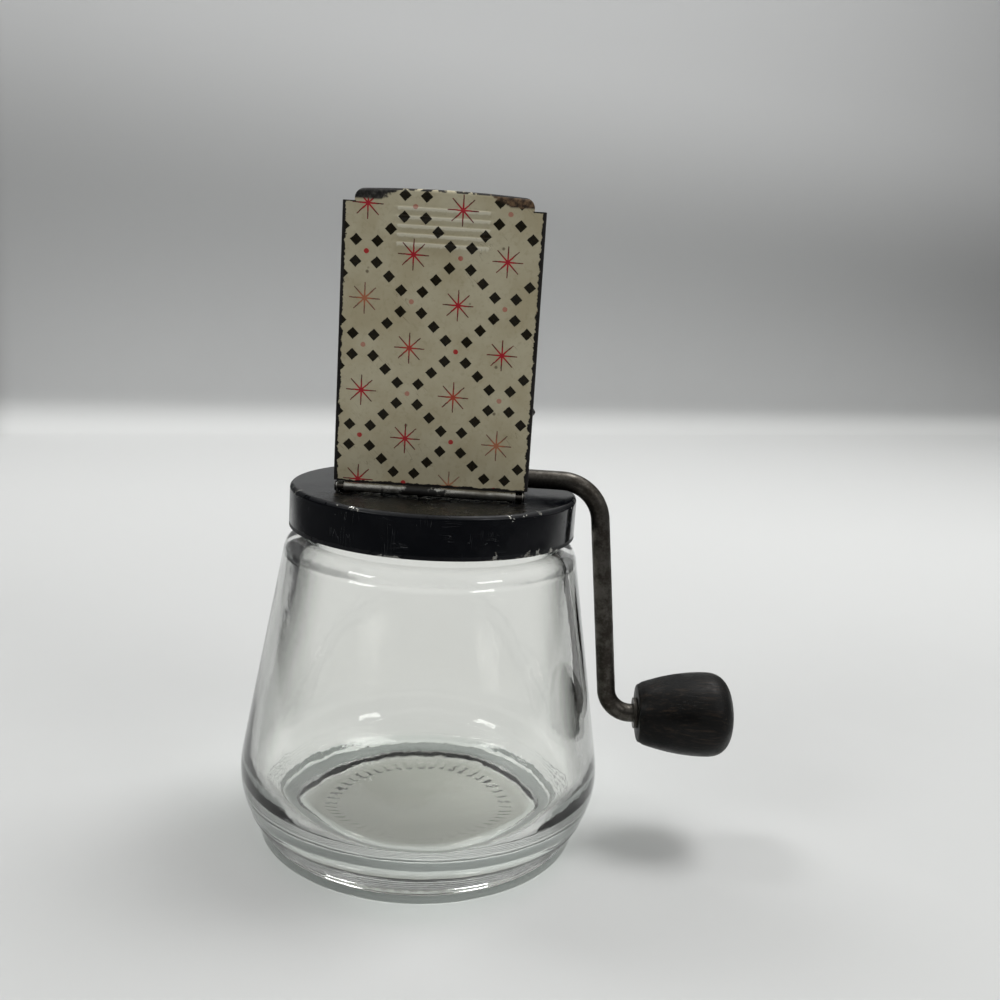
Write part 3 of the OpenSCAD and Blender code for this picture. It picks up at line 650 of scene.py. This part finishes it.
def plain_object(name, points_mm, faces, materials=(), edges=()):
    """An object at the origin from points in millimetres."""
    mesh = bpy.data.meshes.new(name)
    mesh.from_pydata([tuple(c * MM for c in point) for point in points_mm], edges, faces)
    for material in materials:
        mesh.materials.append(material)
    return linked(name, mesh)


def grid_faces(rows, width, first=0):
    """Four-sided faces between rows of points that are numbered one row after another."""
    corners = [first + i * width + j for i in range(rows - 1) for j in range(width - 1)]
    return [(at, at + 1, at + width + 1, at + width) for at in corners]


def close_up(obj, merge_mm=0.004):
    """Merges doubled points and turns the faces outwards."""
    work = bmesh.new()
    work.from_mesh(obj.data)
    bmesh.ops.remove_doubles(work, verts=work.verts, dist=merge_mm * MM)
    bmesh.ops.recalc_face_normals(work, faces=work.faces)
    work.to_mesh(obj.data)
    work.free()
    return obj


def smooth(obj, angle=38):
    obj.data.shade_smooth()
    obj.data.set_sharp_from_angle(angle=radians(angle))
    return obj


def fixed(obj):
    """Turns an object's modifiers into a plain mesh of its own."""
    bpy.context.view_layer.update()
    graph = bpy.context.evaluated_depsgraph_get()
    shaped = obj.evaluated_get(graph)
    mesh = bpy.data.meshes.new_from_object(shaped, preserve_all_data_layers=True, depsgraph=graph)
    obj.modifiers.clear()
    old = obj.data
    obj.data = mesh
    bpy.data.meshes.remove(old)
    mesh.name = obj.name
    return obj


def finish_piece(obj, body, slot, *nodes):
    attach(obj, body)
    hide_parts(*nodes)


def arc(centre, radius, start, end, steps):
    """Points on an arc in the plane of the outline, angles in degrees."""
    angles = [radians(start + (end - start) * i / steps) for i in range(steps + 1)]
    return [(centre[0] + radius * cos(a), centre[1] + radius * sin(a)) for a in angles]


def line(start, end, steps):
    """Points between two ends, without the ends themselves."""
    start, end = np.array(start), np.array(end)
    return [tuple(start + (end - start) * i / steps) for i in range(1, steps)]


def turned(outline, steps, moved=None, closed=False):
    """Points and faces of an outline (radius, height) turned about Z.
    moved(angle, radius, height) may shift a point. A point on the axis closes the skin there, and a closed
    outline runs on from its last point to its first."""
    points, rings = [], []
    for radius, height in outline:
        count = steps if radius > 1e-6 else 1
        rings.append([len(points) + i % count for i in range(steps)])
        for i in range(count):
            angle = 2 * pi * i / steps
            r, z = moved(angle, radius, height) if moved else (radius, height)
            points.append((r * cos(angle), r * sin(angle), z))
    faces = []
    for low, high in zip(rings, rings[1:] + rings[:closed]):
        for i in range(steps):
            j = (i + 1) % steps
            corners = (low[i], low[j], high[j], high[i])
            faces.append(tuple(dict.fromkeys(corners)))
    return points, faces


# Jar

def ease(value):
    value = min(max(value, 0.0), 1.0)
    return value * value * (3 - 2 * value)


def jar_outline(heel_r, rim_z):
    """The glass from the middle of the base up the outside, over the rim and down the inside."""
    heel_c = np.array((heel_r - HEEL_ROUND, HEEL_Z))
    lean = radians(SIDE_LEAN)
    side_n, side_d = np.array((cos(lean), sin(lean))), np.array((-sin(lean), cos(lean)))
    heel_top = heel_c + HEEL_ROUND * side_n
    heel_low = degrees(asin((FOOT_H - HEEL_Z) / HEEL_ROUND))
    foot_r = heel_c[0] + HEEL_ROUND * cos(radians(heel_low)) - FOOT_STEP
    foot_in = foot_r - FOOT_RING

    def inner_centre(radius, height):
        point = heel_top - (GLASS_WALL + radius) * side_n
        return point + (height - point[1]) / side_d[1] * side_d

    shoulder_c = np.array(SHOULDER_C)
    inner_top = SHOULDER_C[1] + SHOULDER_ROUND - SHOULDER_GLASS
    inner_c = inner_centre(INNER_SHOULDER_ROUND, inner_top - INNER_SHOULDER_ROUND)
    floor_c = inner_centre(FLOOR_ROUND, FLOOR_T + FLOOR_ROUND)
    neck_turn = degrees(acos((NECK_R - shoulder_c[0]) / SHOULDER_ROUND))
    bore_turn = degrees(acos((NECK_BORE - inner_c[0]) / INNER_SHOULDER_ROUND))
    base = [(0.0, PUSH_UP), (9.0, PUSH_UP), (16.0, PUSH_UP)]
    base += [(r, PUSH_UP) for r in np.arange(TICK_IN - 1.5, TICK_OUT + 1.51, 0.4)]
    base += [(foot_in - PUSH_UP - 0.4, PUSH_UP), (foot_in - PUSH_UP, PUSH_UP - 0.12), (foot_in - 0.5, 0.42)]
    base += [(foot_in, 0.1), (foot_in + 0.4, 0.0), (foot_in + 2.5, 0.0)]
    outside = arc((foot_r - FOOT_ROUND, FOOT_ROUND), FOOT_ROUND, -90, 0, 8)
    outside += line((foot_r, FOOT_ROUND), (foot_r, FOOT_H - 0.35), 4)
    outside += arc((foot_r + 0.3, FOOT_H - 0.3), 0.3, 180, 90, 4)
    heel = arc(heel_c, HEEL_ROUND, heel_low, heel_low + RING_SPAN, RING_ROWS)[1:]
    wave = pi * RING_COUNT / (RING_ROWS - 1)
    heel = [(r + RING_OUT * sin(wave * i) ** 2, z) for i, (r, z) in enumerate(heel)]
    heel += arc(heel_c, HEEL_ROUND, heel_low + RING_SPAN, SIDE_LEAN, 24)[1:]
    outside += heel
    shoulder = arc(shoulder_c, SHOULDER_ROUND, SIDE_LEAN, neck_turn, 18)
    outside += line(heel[-1], shoulder[0], 14) + shoulder
    neck_low = shoulder[-1][1]
    outside += [(NECK_R, z) for z in np.arange(neck_low + 0.15, rim_z - RIM_ROUND - 0.1, 0.25)]
    outside += arc((NECK_R - RIM_ROUND, rim_z - RIM_ROUND), RIM_ROUND, 0, 90, 8)
    inside = arc((NECK_BORE + RIM_ROUND, rim_z - RIM_ROUND), RIM_ROUND, 90, 180, 8)
    inner_shoulder = arc(inner_c, INNER_SHOULDER_ROUND, bore_turn, SIDE_LEAN, 18)
    floor = arc(floor_c, FLOOR_ROUND, SIDE_LEAN, -90, 24)
    inside += line(inside[-1], inner_shoulder[0], 4) + inner_shoulder
    inside += line(inner_shoulder[-1], floor[0], 14) + floor
    inside += [(r, FLOOR_T) for r in (18.0, 12.0, 6.0)] + [(0.0, FLOOR_T)]
    return base, outside, inside


def make_jar():
    low, high = box_mm("jar")
    heel_r = min(high.x, high.y, -low.x, -low.y)
    base, outside, inside = jar_outline(heel_r, high.z)
    base_zone = {(round(r, 5), round(z, 5)) for r, z in base}
    inner_zone = {(round(r, 5), round(z, 5)) for r, z in inside if z < high.z - 4}
    tilt = RIDGE_RISE / (2 * pi)

    def moved(angle, radius, height):
        key = (round(radius, 5), round(height, 5))
        if key in base_zone and TICK_IN - 0.5 < radius < TICK_OUT + 0.5:
            ends = ease((radius - TICK_IN + 0.4) / 0.8) * ease((TICK_OUT + 0.4 - radius) / 0.8)
            step = angle * TICK_COUNT / (2 * pi) % 1.0
            tick = ease((TICK_HALF - abs(step - 0.5)) / TICK_SOFT)
            return radius, height - TICK_DEPTH * ends * tick
        if key in inner_zone and radius > 10:
            wave = sin(3 * angle + 1.3) * sin(height / 9.0) + 0.6 * sin(7 * angle + height / 16.0)
            return radius + WAVE * wave * ease((height - FLOOR_T) / 12.0), height
        if abs(radius - NECK_R) < 1e-6:
            spacing = 2 * pi / RIDGE_COUNT
            turn = (angle % spacing) - spacing / 2
            middle = RIDGE_Z + tilt * turn
            aside = abs(height - middle)
            rise = ease((RIDGE_W * 0.75 - aside) / (RIDGE_W * 0.5))
            end = ease((radians(RIDGE_SPAN / 2) - abs(turn)) / radians(5))
            return radius + RIDGE_OUT * rise * end * 0.98, height
        return radius, height

    points, faces = turned(base + outside + inside, JAR_STEPS, moved)
    jar = smooth(close_up(plain_object("jar_glass", points, faces, [GLASS])), 50)
    finish_piece(jar, "jar", "clear_glass", "jar")


# Door

def geometry_tree(name, inputs):
    """A Geometry Nodes tree that is given a shape, the named inputs and a material."""
    inputs = {"Geometry": GEOMETRY, **inputs, "Material": MATERIAL}
    return new_tree(name, "GeometryNodeTree", inputs, {"Geometry": GEOMETRY})


def shape_by(obj, tree, values):
    """Puts a Geometry Nodes tree on an object and sets its inputs by their identifiers."""
    modifier = obj.modifiers.new(tree.name, "NODES")
    modifier.node_group = tree
    for item in tree.interface.items_tree:
        if item.in_out == "INPUT" and item.name in values:
            modifier[item.identifier] = values[item.name]


def close_tree(n, shape, given, put):
    """Ends a tree in real geometry with its material."""
    real = n.add("GeometryNodeRealizeInstances", {"Geometry": shape.outputs[0]}).outputs[0]
    dressed = n.add("GeometryNodeSetMaterial", {"Geometry": real, "Material": given["Material"]})
    put("Geometry", dressed.outputs[0])


def pressing_tree():
    """Presses a row of level ridges into a sheet's front, and one round dimple into its right flange."""
    tree, n, given, put = geometry_tree("press ridges and dimple", {
        "First ridge": FLOAT, "Pitch": FLOAT, "Count": FLOAT, "Half width": FLOAT, "Ridge out": FLOAT,
        "Front": FLOAT, "Dimple place": VECTOR, "Dimple radius": FLOAT, "Dimple out": FLOAT})
    place = n.add("GeometryNodeInputPosition").outputs[0]
    x, y, z = n.split(place)
    drop = n.math("DIVIDE", n.minus(given["First ridge"], z), given["Pitch"])
    number = n.math("FLOOR", drop)
    in_row = n.times(n.math("GREATER_THAN", number, -0.5),
                    n.math("LESS_THAN", number, n.minus(given["Count"], 0.5)))
    below = n.minus(drop, number)
    crest = n.times(n.fade(below, 0.0, 0.2), n.fade(below, 0.92, 0.2))
    past = n.minus(given["Half width"], n.absolute(x))
    ends = n.fade(past, 0.0, 0.9 * MM)
    on_front = n.math("LESS_THAN", n.minus(y, given["Front"]), 0.01 * MM)
    ridge = n.times(n.times(crest, ends), n.times(in_row, on_front))
    forwards = n.times(n.times(ridge, given["Ridge out"]), -1.0)
    gap = n.add("ShaderNodeVectorMath", {0: place, 1: given["Dimple place"]}, operation="DISTANCE")
    bulge = n.fade(gap.outputs["Value"], given["Dimple radius"], 0.0)
    outwards = n.times(bulge, given["Dimple out"])
    offset = n.join(outwards, forwards)
    pressed = n.add("GeometryNodeSetPosition", {"Geometry": given["Geometry"], "Offset": offset})
    close_tree(n, pressed, given, put)
    return tree


def spread(marks, step):
    """Values through every mark, no further apart than step."""
    values = [marks[0]]
    for start, end in zip(marks, marks[1:]):
        count = max(1, int(np.ceil(abs(end - start) / step)))
        values += [start + (end - start) * i / count for i in range(1, count + 1)]
    return values


def top_height(x, y):
    """Height of the door's top: a crown with rounded ends, front and back."""
    def edge_drop(past, radius):
        past = min(max(past, 0.0), radius)
        return radius - sqrt(radius * radius - past * past)

    crown = TOP_CROWN * (x / TOP_HALF) ** 2
    drops = (edge_drop(abs(x) - (TOP_HALF - TOP_END_ROUND), TOP_END_ROUND),
             edge_drop(DOOR_FRONT + TOP_FRONT_ROUND - y, TOP_FRONT_ROUND),
             edge_drop(y - (TOP_BACK - TOP_BACK_ROUND), TOP_BACK_ROUND))
    power = 6
    return TOP_Z - crown - sum(d ** power for d in drops) ** (1 / power)


def make_door():
    """The door: one sheet with folded sides, a rolled hinge edge and a crowned top with flanges."""
    bends = [radians(a) for a in np.linspace(0, 90, 9)]
    ends = [TOP_HALF - TOP_END_ROUND * (1 - sin(a)) for a in bends]
    inner = spread([-ends[0], -GRIP_HALF, GRIP_HALF, ends[0]], 0.8)
    columns = [-e for e in reversed(ends[1:])] + inner + ends[1:]
    fold_x, fold_y = DOOR_HALF - DOOR_FOLD, DOOR_FRONT + DOOR_FOLD
    flange_back = DOOR_FRONT + DOOR_FLANGE
    left = [(-DOOR_HALF, y) for y in spread([flange_back, fold_y], 0.3)]
    left += [(-fold_x - DOOR_FOLD * cos(a), fold_y - DOOR_FOLD * sin(a)) for a in bends[1:]]
    left += [(x, DOOR_FRONT) for x in spread([-fold_x, columns[0]], 0.5)[1:-1]]
    right = [(-x, y) for x, y in reversed(left)]
    plan = left + [(x, DOOR_FRONT) for x in columns] + right
    grip_low = GRIP_FIRST_Z - GRIP_PITCH * (GRIP_COUNT - 1) - 0.8
    levels = spread([DOOR_LOW, DIMPLE_Z - 1.5], 1.5) + spread([DIMPLE_Z - 1.5, DIMPLE_Z + 1.5], 0.2)[1:]
    levels += spread([DIMPLE_Z + 1.5, grip_low], 1.5)[1:] + spread([grip_low, DOOR_CORNER_Z], 0.13)[1:]
    patches = [[[(x, y, z) for x, y in plan] for z in levels]]

    # Down from the panel and forwards round the hinge wire
    rolled = [(DOOR_FRONT, z) for z in (DOOR_LOW, HINGE.z + 0.6)]
    turns = np.linspace(0, radians(ROLL_TURN), 40)
    rolled += [(HINGE.y + CURL_IN * cos(a), HINGE.z - CURL_IN * sin(a)) for a in turns]
    patches.append([[(x, y, z) for x in columns] for y, z in rolled])

    # Up from the panel and back over the top
    depths = [DOOR_FRONT + TOP_FRONT_ROUND * (1 - cos(a)) for a in np.linspace(0, pi / 2, 13)]
    depths += spread([depths[-1], TOP_BACK - TOP_BACK_ROUND], 1.5)[1:]
    depths += [TOP_BACK - TOP_BACK_ROUND * (1 - sin(a)) for a in bends[1:]]
    over = [[(x, DOOR_FRONT, DOOR_CORNER_Z) for x in columns]]
    over += [[(x, y, top_height(x, y)) for x in columns] for y in depths]
    patches.append(over)

    # Flanges of the top, down into the hopper, clear of the front's round
    drops = spread([DOOR_CORNER_Z, DOOR_CORNER_Z - TOP_FLANGE], 1.2)
    for x in (columns[0], columns[-1]):
        patches.append([[(x, y, z) for z in (top_height(x, y), DOOR_CORNER_Z)] for y in depths])
        patches.append([[(x, y, z) for z in drops] for y in depths[4:]])
    patches.append([[(x, TOP_BACK, z) for z in (top_height(x, TOP_BACK), *drops)] for x in columns])

    points, faces = [], []
    for patch in patches:
        faces += grid_faces(len(patch), len(patch[0]), len(points))
        points += [point for row in patch for point in row]
    door = close_up(plain_object("door_sheet", points, faces, [PRINTED_TIN, BARE_TIN]))
    middle = Vector((0, DOOR_FRONT, 125)) * MM
    front = min(door.data.polygons, key=lambda f: (f.center - middle).length)
    if front.normal.y > 0:
        door.data.flip_normals()
    shape_by(door, pressing_tree(), {
        "First ridge": GRIP_FIRST_Z * MM, "Pitch": GRIP_PITCH * MM, "Count": float(GRIP_COUNT),
        "Half width": GRIP_HALF * MM, "Ridge out": GRIP_OUT * MM, "Front": DOOR_FRONT * MM,
        "Dimple place": [DOOR_HALF * MM, DIMPLE_Y * MM, DIMPLE_Z * MM], "Dimple radius": DIMPLE_R * MM,
        "Dimple out": DIMPLE_OUT * MM, "Material": PRINTED_TIN})
    wall = door.modifiers.new("thickness", "SOLIDIFY")
    wall.thickness, wall.offset, wall.use_even_offset = SHEET_T * MM, -1.0, True
    wall.material_offset, wall.material_offset_rim = 1, 1
    door = smooth(fixed(door), 40)
    finish_piece(door, "door", "printed_tin", "hopper_door")


# Crank

def sweep_tree():
    """Sweeps a round rod along a line of points, rounding each corner by the point's own bend radius."""
    tree, n, given, put = geometry_tree(
        "bent rod", {"Rod radius": FLOAT, "Round steps": WHOLE, "Bend steps": WHOLE})
    path = n.add("GeometryNodeMeshToCurve", {"Mesh": given["Geometry"]}).outputs[0]
    bend = n.add("GeometryNodeInputNamedAttribute", {"Name": "bend"}, data_type="FLOAT").outputs[0]
    corners = {"Curve": path, "Count": given["Bend steps"], "Radius": bend}
    rounded = n.add("GeometryNodeFilletCurve", corners, mode="POLY").outputs[0]
    circle = {"Resolution": given["Round steps"], "Radius": given["Rod radius"]}
    ring = n.add("GeometryNodeCurvePrimitiveCircle", circle, mode="RADIUS").outputs[0]
    rod = n.add("GeometryNodeCurveToMesh", {"Curve": rounded, "Profile Curve": ring, "Fill Caps": True})
    close_tree(n, rod, given, put)
    return tree


# Sizes of the crank and the knob
ROD_R = 2.375
SHAFT_BEND, HANDLE_BEND = 10.6, 6.7
ARM_OUT = 5.45
PEEN_R, PEEN_T = 3.175, 0.7
KNOB_START, KNOB_L, KNOB_BELLY = 7.79, 24.9, 17.4
KNOB_END_R, KNOB_FULL_R = 7.6, 10.9
KNOB_SWELL, KNOB_NOSE = 1.9, 0.74
RECESS_FLOOR, RECESS_R, KNOB_BORE = 22.7, 4.275, 2.425
ROD_END = 31.44


def along_handle(points, handle, axis):
    """Moves points made about Z to the handle's axis, with Z running outwards along it."""
    turn = Vector((0, 0, 1)).rotation_difference(axis).to_matrix()
    return [tuple(handle + turn @ Vector(point)) for point in points]


def make_crank():
    shaft, _ = joint_place("crank_turn")
    handle, axis = joint_place("knob_spin")
    corner = Vector((box_mm("screw_cap")[1].x + ARM_OUT, 0, shaft.z))
    start = Vector((box_mm("crank_rod")[0].x, 0, shaft.z))
    end = handle + axis * (ROD_END + PEEN_T / 2)
    path = (start, corner, handle, end)
    rod = plain_object("crank_bent_rod", path, [], edges=[(0, 1), (1, 2), (2, 3)])
    bend = rod.data.attributes.new("bend", "FLOAT", "POINT")
    for i, radius in ((1, SHAFT_BEND), (2, HANDLE_BEND)):
        bend.data[i].value = radius * MM
    shape_by(rod, sweep_tree(), {"Rod radius": ROD_R * MM, "Round steps": 48, "Bend steps": 24,
                                 "Material": DARK_STEEL})
    rod = fixed(rod)
    low, rim = ROD_END, PEEN_T * 0.45
    rises = np.linspace(0, pi / 2 * 0.98, 10)
    dome = [(0.0, low), (PEEN_R - 0.1, low)]
    dome += [(PEEN_R * cos(a), low + rim + (PEEN_T - rim) * sin(a)) for a in rises] + [(0.0, low + PEEN_T)]
    points, faces = turned(dome, 48)
    head = close_up(plain_object("peened_head", along_handle(points, handle, axis), faces, [DARK_STEEL]))
    work = bmesh.new()
    work.from_mesh(rod.data)
    work.from_mesh(head.data)
    work.to_mesh(rod.data)
    work.free()
    bpy.data.objects.remove(head)
    finish_piece(smooth(rod), "crank", "dark_steel", "crank_rod")


def make_knob():
    handle, axis = joint_place("knob_spin")
    corner = 0.7
    outline = [(KNOB_BORE, z) for z in (RECESS_FLOOR, KNOB_L / 2, 0.0)] + [(KNOB_END_R - corner - 2, 0.0)]
    outline += arc((KNOB_END_R - corner, corner), corner, -90, 0, 5)
    for t in np.linspace(0.08, 1, 36):
        outline.append((KNOB_FULL_R - (KNOB_FULL_R - KNOB_END_R) * (1 - t) ** KNOB_SWELL, KNOB_BELLY * t))
    nose = KNOB_L - KNOB_BELLY
    recess_turn = acos((RECESS_R / KNOB_FULL_R) ** (1 / KNOB_NOSE))
    for a in np.linspace(0, recess_turn, 40)[1:]:
        outline.append((KNOB_FULL_R * cos(a) ** KNOB_NOSE, KNOB_BELLY + nose * sin(a) ** KNOB_NOSE))
    lip = outline[-1]
    outline += [(RECESS_R, lip[1] - 0.5), (RECESS_R, RECESS_FLOOR), (RECESS_R - 0.6, RECESS_FLOOR)]
    points, faces = turned([(r, z + KNOB_START) for r, z in outline], 128, closed=True)
    knob = plain_object("knob_wood", along_handle(points, handle, axis), faces, [WOOD])
    finish_piece(smooth(close_up(knob), 42), "knob", "stained_wood", "crank_knob")


make_jar()
make_door()
make_crank()
make_knob()

# Materials of the CAD nodes that stay, by how their names start
FINISHES = {
    ("screw_cap",): cap_paint(),
    ("hopper_wrap",): hopper_paint(),
    ("shaft_bush",): brass(),
    ("sealing_ring",): seal_rubber(),
    ("door_hinge_wire", "knob_stop_washer", "knob_end_washer"): DARK_STEEL,
    ("comb_plate", "cutter_blade", "blade_spacer", "end_collar"): BRIGHT_STEEL}
for name, node in frame["nodes"].items():
    for starts, finish in FINISHES.items():
        if name.startswith(starts):
            node.data.materials.clear()
            node.data.materials.append(finish)


# Stage, light and camera
FLOOR_NEAR, WALL_H, COVE = 2500.0, 1500.0, 30.0
STAGE_HALF = 2600.0
PAPER_NEAR, PAPER_SOFT = -190.0, 60.0
PAPER_LEFT, PAPER_RIGHT = (0.36, 190.0), (0.45, 280.0)
WALL_LEFT, WALL_RIGHT = (-431.1, 626.4), (732.6, 1220.7)


def stage_surface():
    """A floor that turns up into a backdrop along the photograph's level line.
    The pale paper ends outside the camera's view, and beyond it the floor is painted dark grey as painted
    shade of a dim room."""
    left, right = np.array(WALL_LEFT), np.array(WALL_RIGHT)
    along = (right - left) / np.linalg.norm(right - left)
    towards = np.array((along[1], -along[0]))
    middle = (left + right) / 2
    profile = [(FLOOR_NEAR, 0.0)] + [(d, 0.0) for d in (1200.0, 600.0, 200.0)]
    profile += [(COVE * (1 - sin(a)), COVE * (1 - cos(a))) for a in np.linspace(0, pi / 2, 10)]
    profile += [(0.0, 200.0), (0.0, 600.0), (0.0, WALL_H)]
    sides = np.linspace(-STAGE_HALF, STAGE_HALF, 9)
    points = [(*(middle + along * s + towards * d), z) for d, z in profile for s in sides]
    faces = grid_faces(len(profile), len(sides))
    material, n, put, place = new_material("studio paper")
    x, y, z = n.split(place)
    grain = n.noise(place, 60.0, 4.0, 0.6)
    # Painted light: the paper is painted brighter towards the back
    near = n.mix(grain, tone(198, 199, 198), tone(202, 203, 202))
    paper = n.mix(n.fade(y, 0.0, 450.0), near, tone(216, 217, 216))
    # Painted light and shade: the backdrop is painted in bands, darker at middle height and brightest at
    # the top
    wall = n.mix(grain, tone(189, 190, 190), tone(193, 194, 194))
    wall = n.mix(n.fade(z, 40.0, 210.0), wall, tone(175, 176, 176))
    wall = n.mix(n.fade(z, 210.0, 400.0), wall, tone(216, 217, 217))
    paper = n.mix(n.fade(z, 4.0, 40.0), paper, wall)
    # Painted shade: outside the paper's edges the floor is painted dark grey, standing in for a dim room
    # round the paper
    left_side = n.plus(x, n.times_plus(y, *PAPER_LEFT))
    right_side = n.minus(n.times_plus(y, *PAPER_RIGHT), x)
    front_side = n.minus(y, PAPER_NEAR)
    within = n.smaller(n.smaller(left_side, right_side), front_side)
    put("Base Color", n.mix(n.fade(within, 0.0, -PAPER_SOFT), paper, tone(78, 78, 79)))
    put("Roughness", 0.85)
    floor = plain_object("stage_paper", points, faces, [material])
    floor.data.shade_smooth()


def area_light(name, place, target, size, power):
    light = bpy.data.lights.new(name, "AREA")
    light.shape = "RECTANGLE"
    light.size, light.size_y = size[0] * MM, size[1] * MM
    light.energy = power
    look = (Vector(target) - Vector(place)).to_track_quat("-Z", "Y")
    linked(name, light).matrix_world = Matrix.Translation(Vector(place) * MM) @ look.to_matrix().to_4x4()


def studio_world():
    """Soft grey room: brightest overhead, darkest behind the camera."""
    world = bpy.data.worlds.new("studio")
    bpy.context.scene.world = world
    world.use_nodes = True
    n = Nodes(world.node_tree)
    back = world.node_tree.nodes["Background"]
    _, y, z = n.split(n.add("ShaderNodeTexCoord").outputs["Generated"])
    room = n.mix(n.fade(y, -0.45, 0.5), (0.05, 0.05, 0.05, 1.0), (0.34, 0.34, 0.34, 1.0))
    grey = n.mix(n.fade(z, 0.12, 0.85), room, (0.52, 0.52, 0.51, 1.0))
    n.feed(back.inputs["Color"], grey)
    n.feed(back.inputs["Strength"], 1.0)


def photo_camera():
    data = bpy.data.cameras.new("photo camera")
    data.sensor_width = SENSOR
    data.lens = SENSOR * FOCAL_PIXELS / PICTURE
    data.clip_start, data.clip_end = 0.01, 20.0
    stand = Matrix.Translation(Vector(CAMERA_PLACE) * MM)
    for angle, axis in ((CAMERA_PAN, "Z"), (pi / 2 - CAMERA_PITCH, "X"), (CAMERA_ROLL, "Z")):
        stand = stand @ Matrix.Rotation(angle, 4, axis)
    camera = linked("photo camera", data)
    camera.matrix_world = stand
    bpy.context.scene.camera = camera


stage_surface()
studio_world()
area_light("right softbox", (500, 330, 1500), (20, 40, 60), (520, 520), 12.0)
area_light("left softbox", (-700, 420, 1400), (0, 60, 60), (420, 420), 8.5)
area_light("front lamp right", (880, -640, 760), (0, 0, 90), (420, 220), 2.6)
area_light("front lamp left", (-880, -640, 760), (0, 0, 90), (420, 220), 2.6)
photo_camera()
bpy.context.scene.view_settings.view_transform = "Standard"
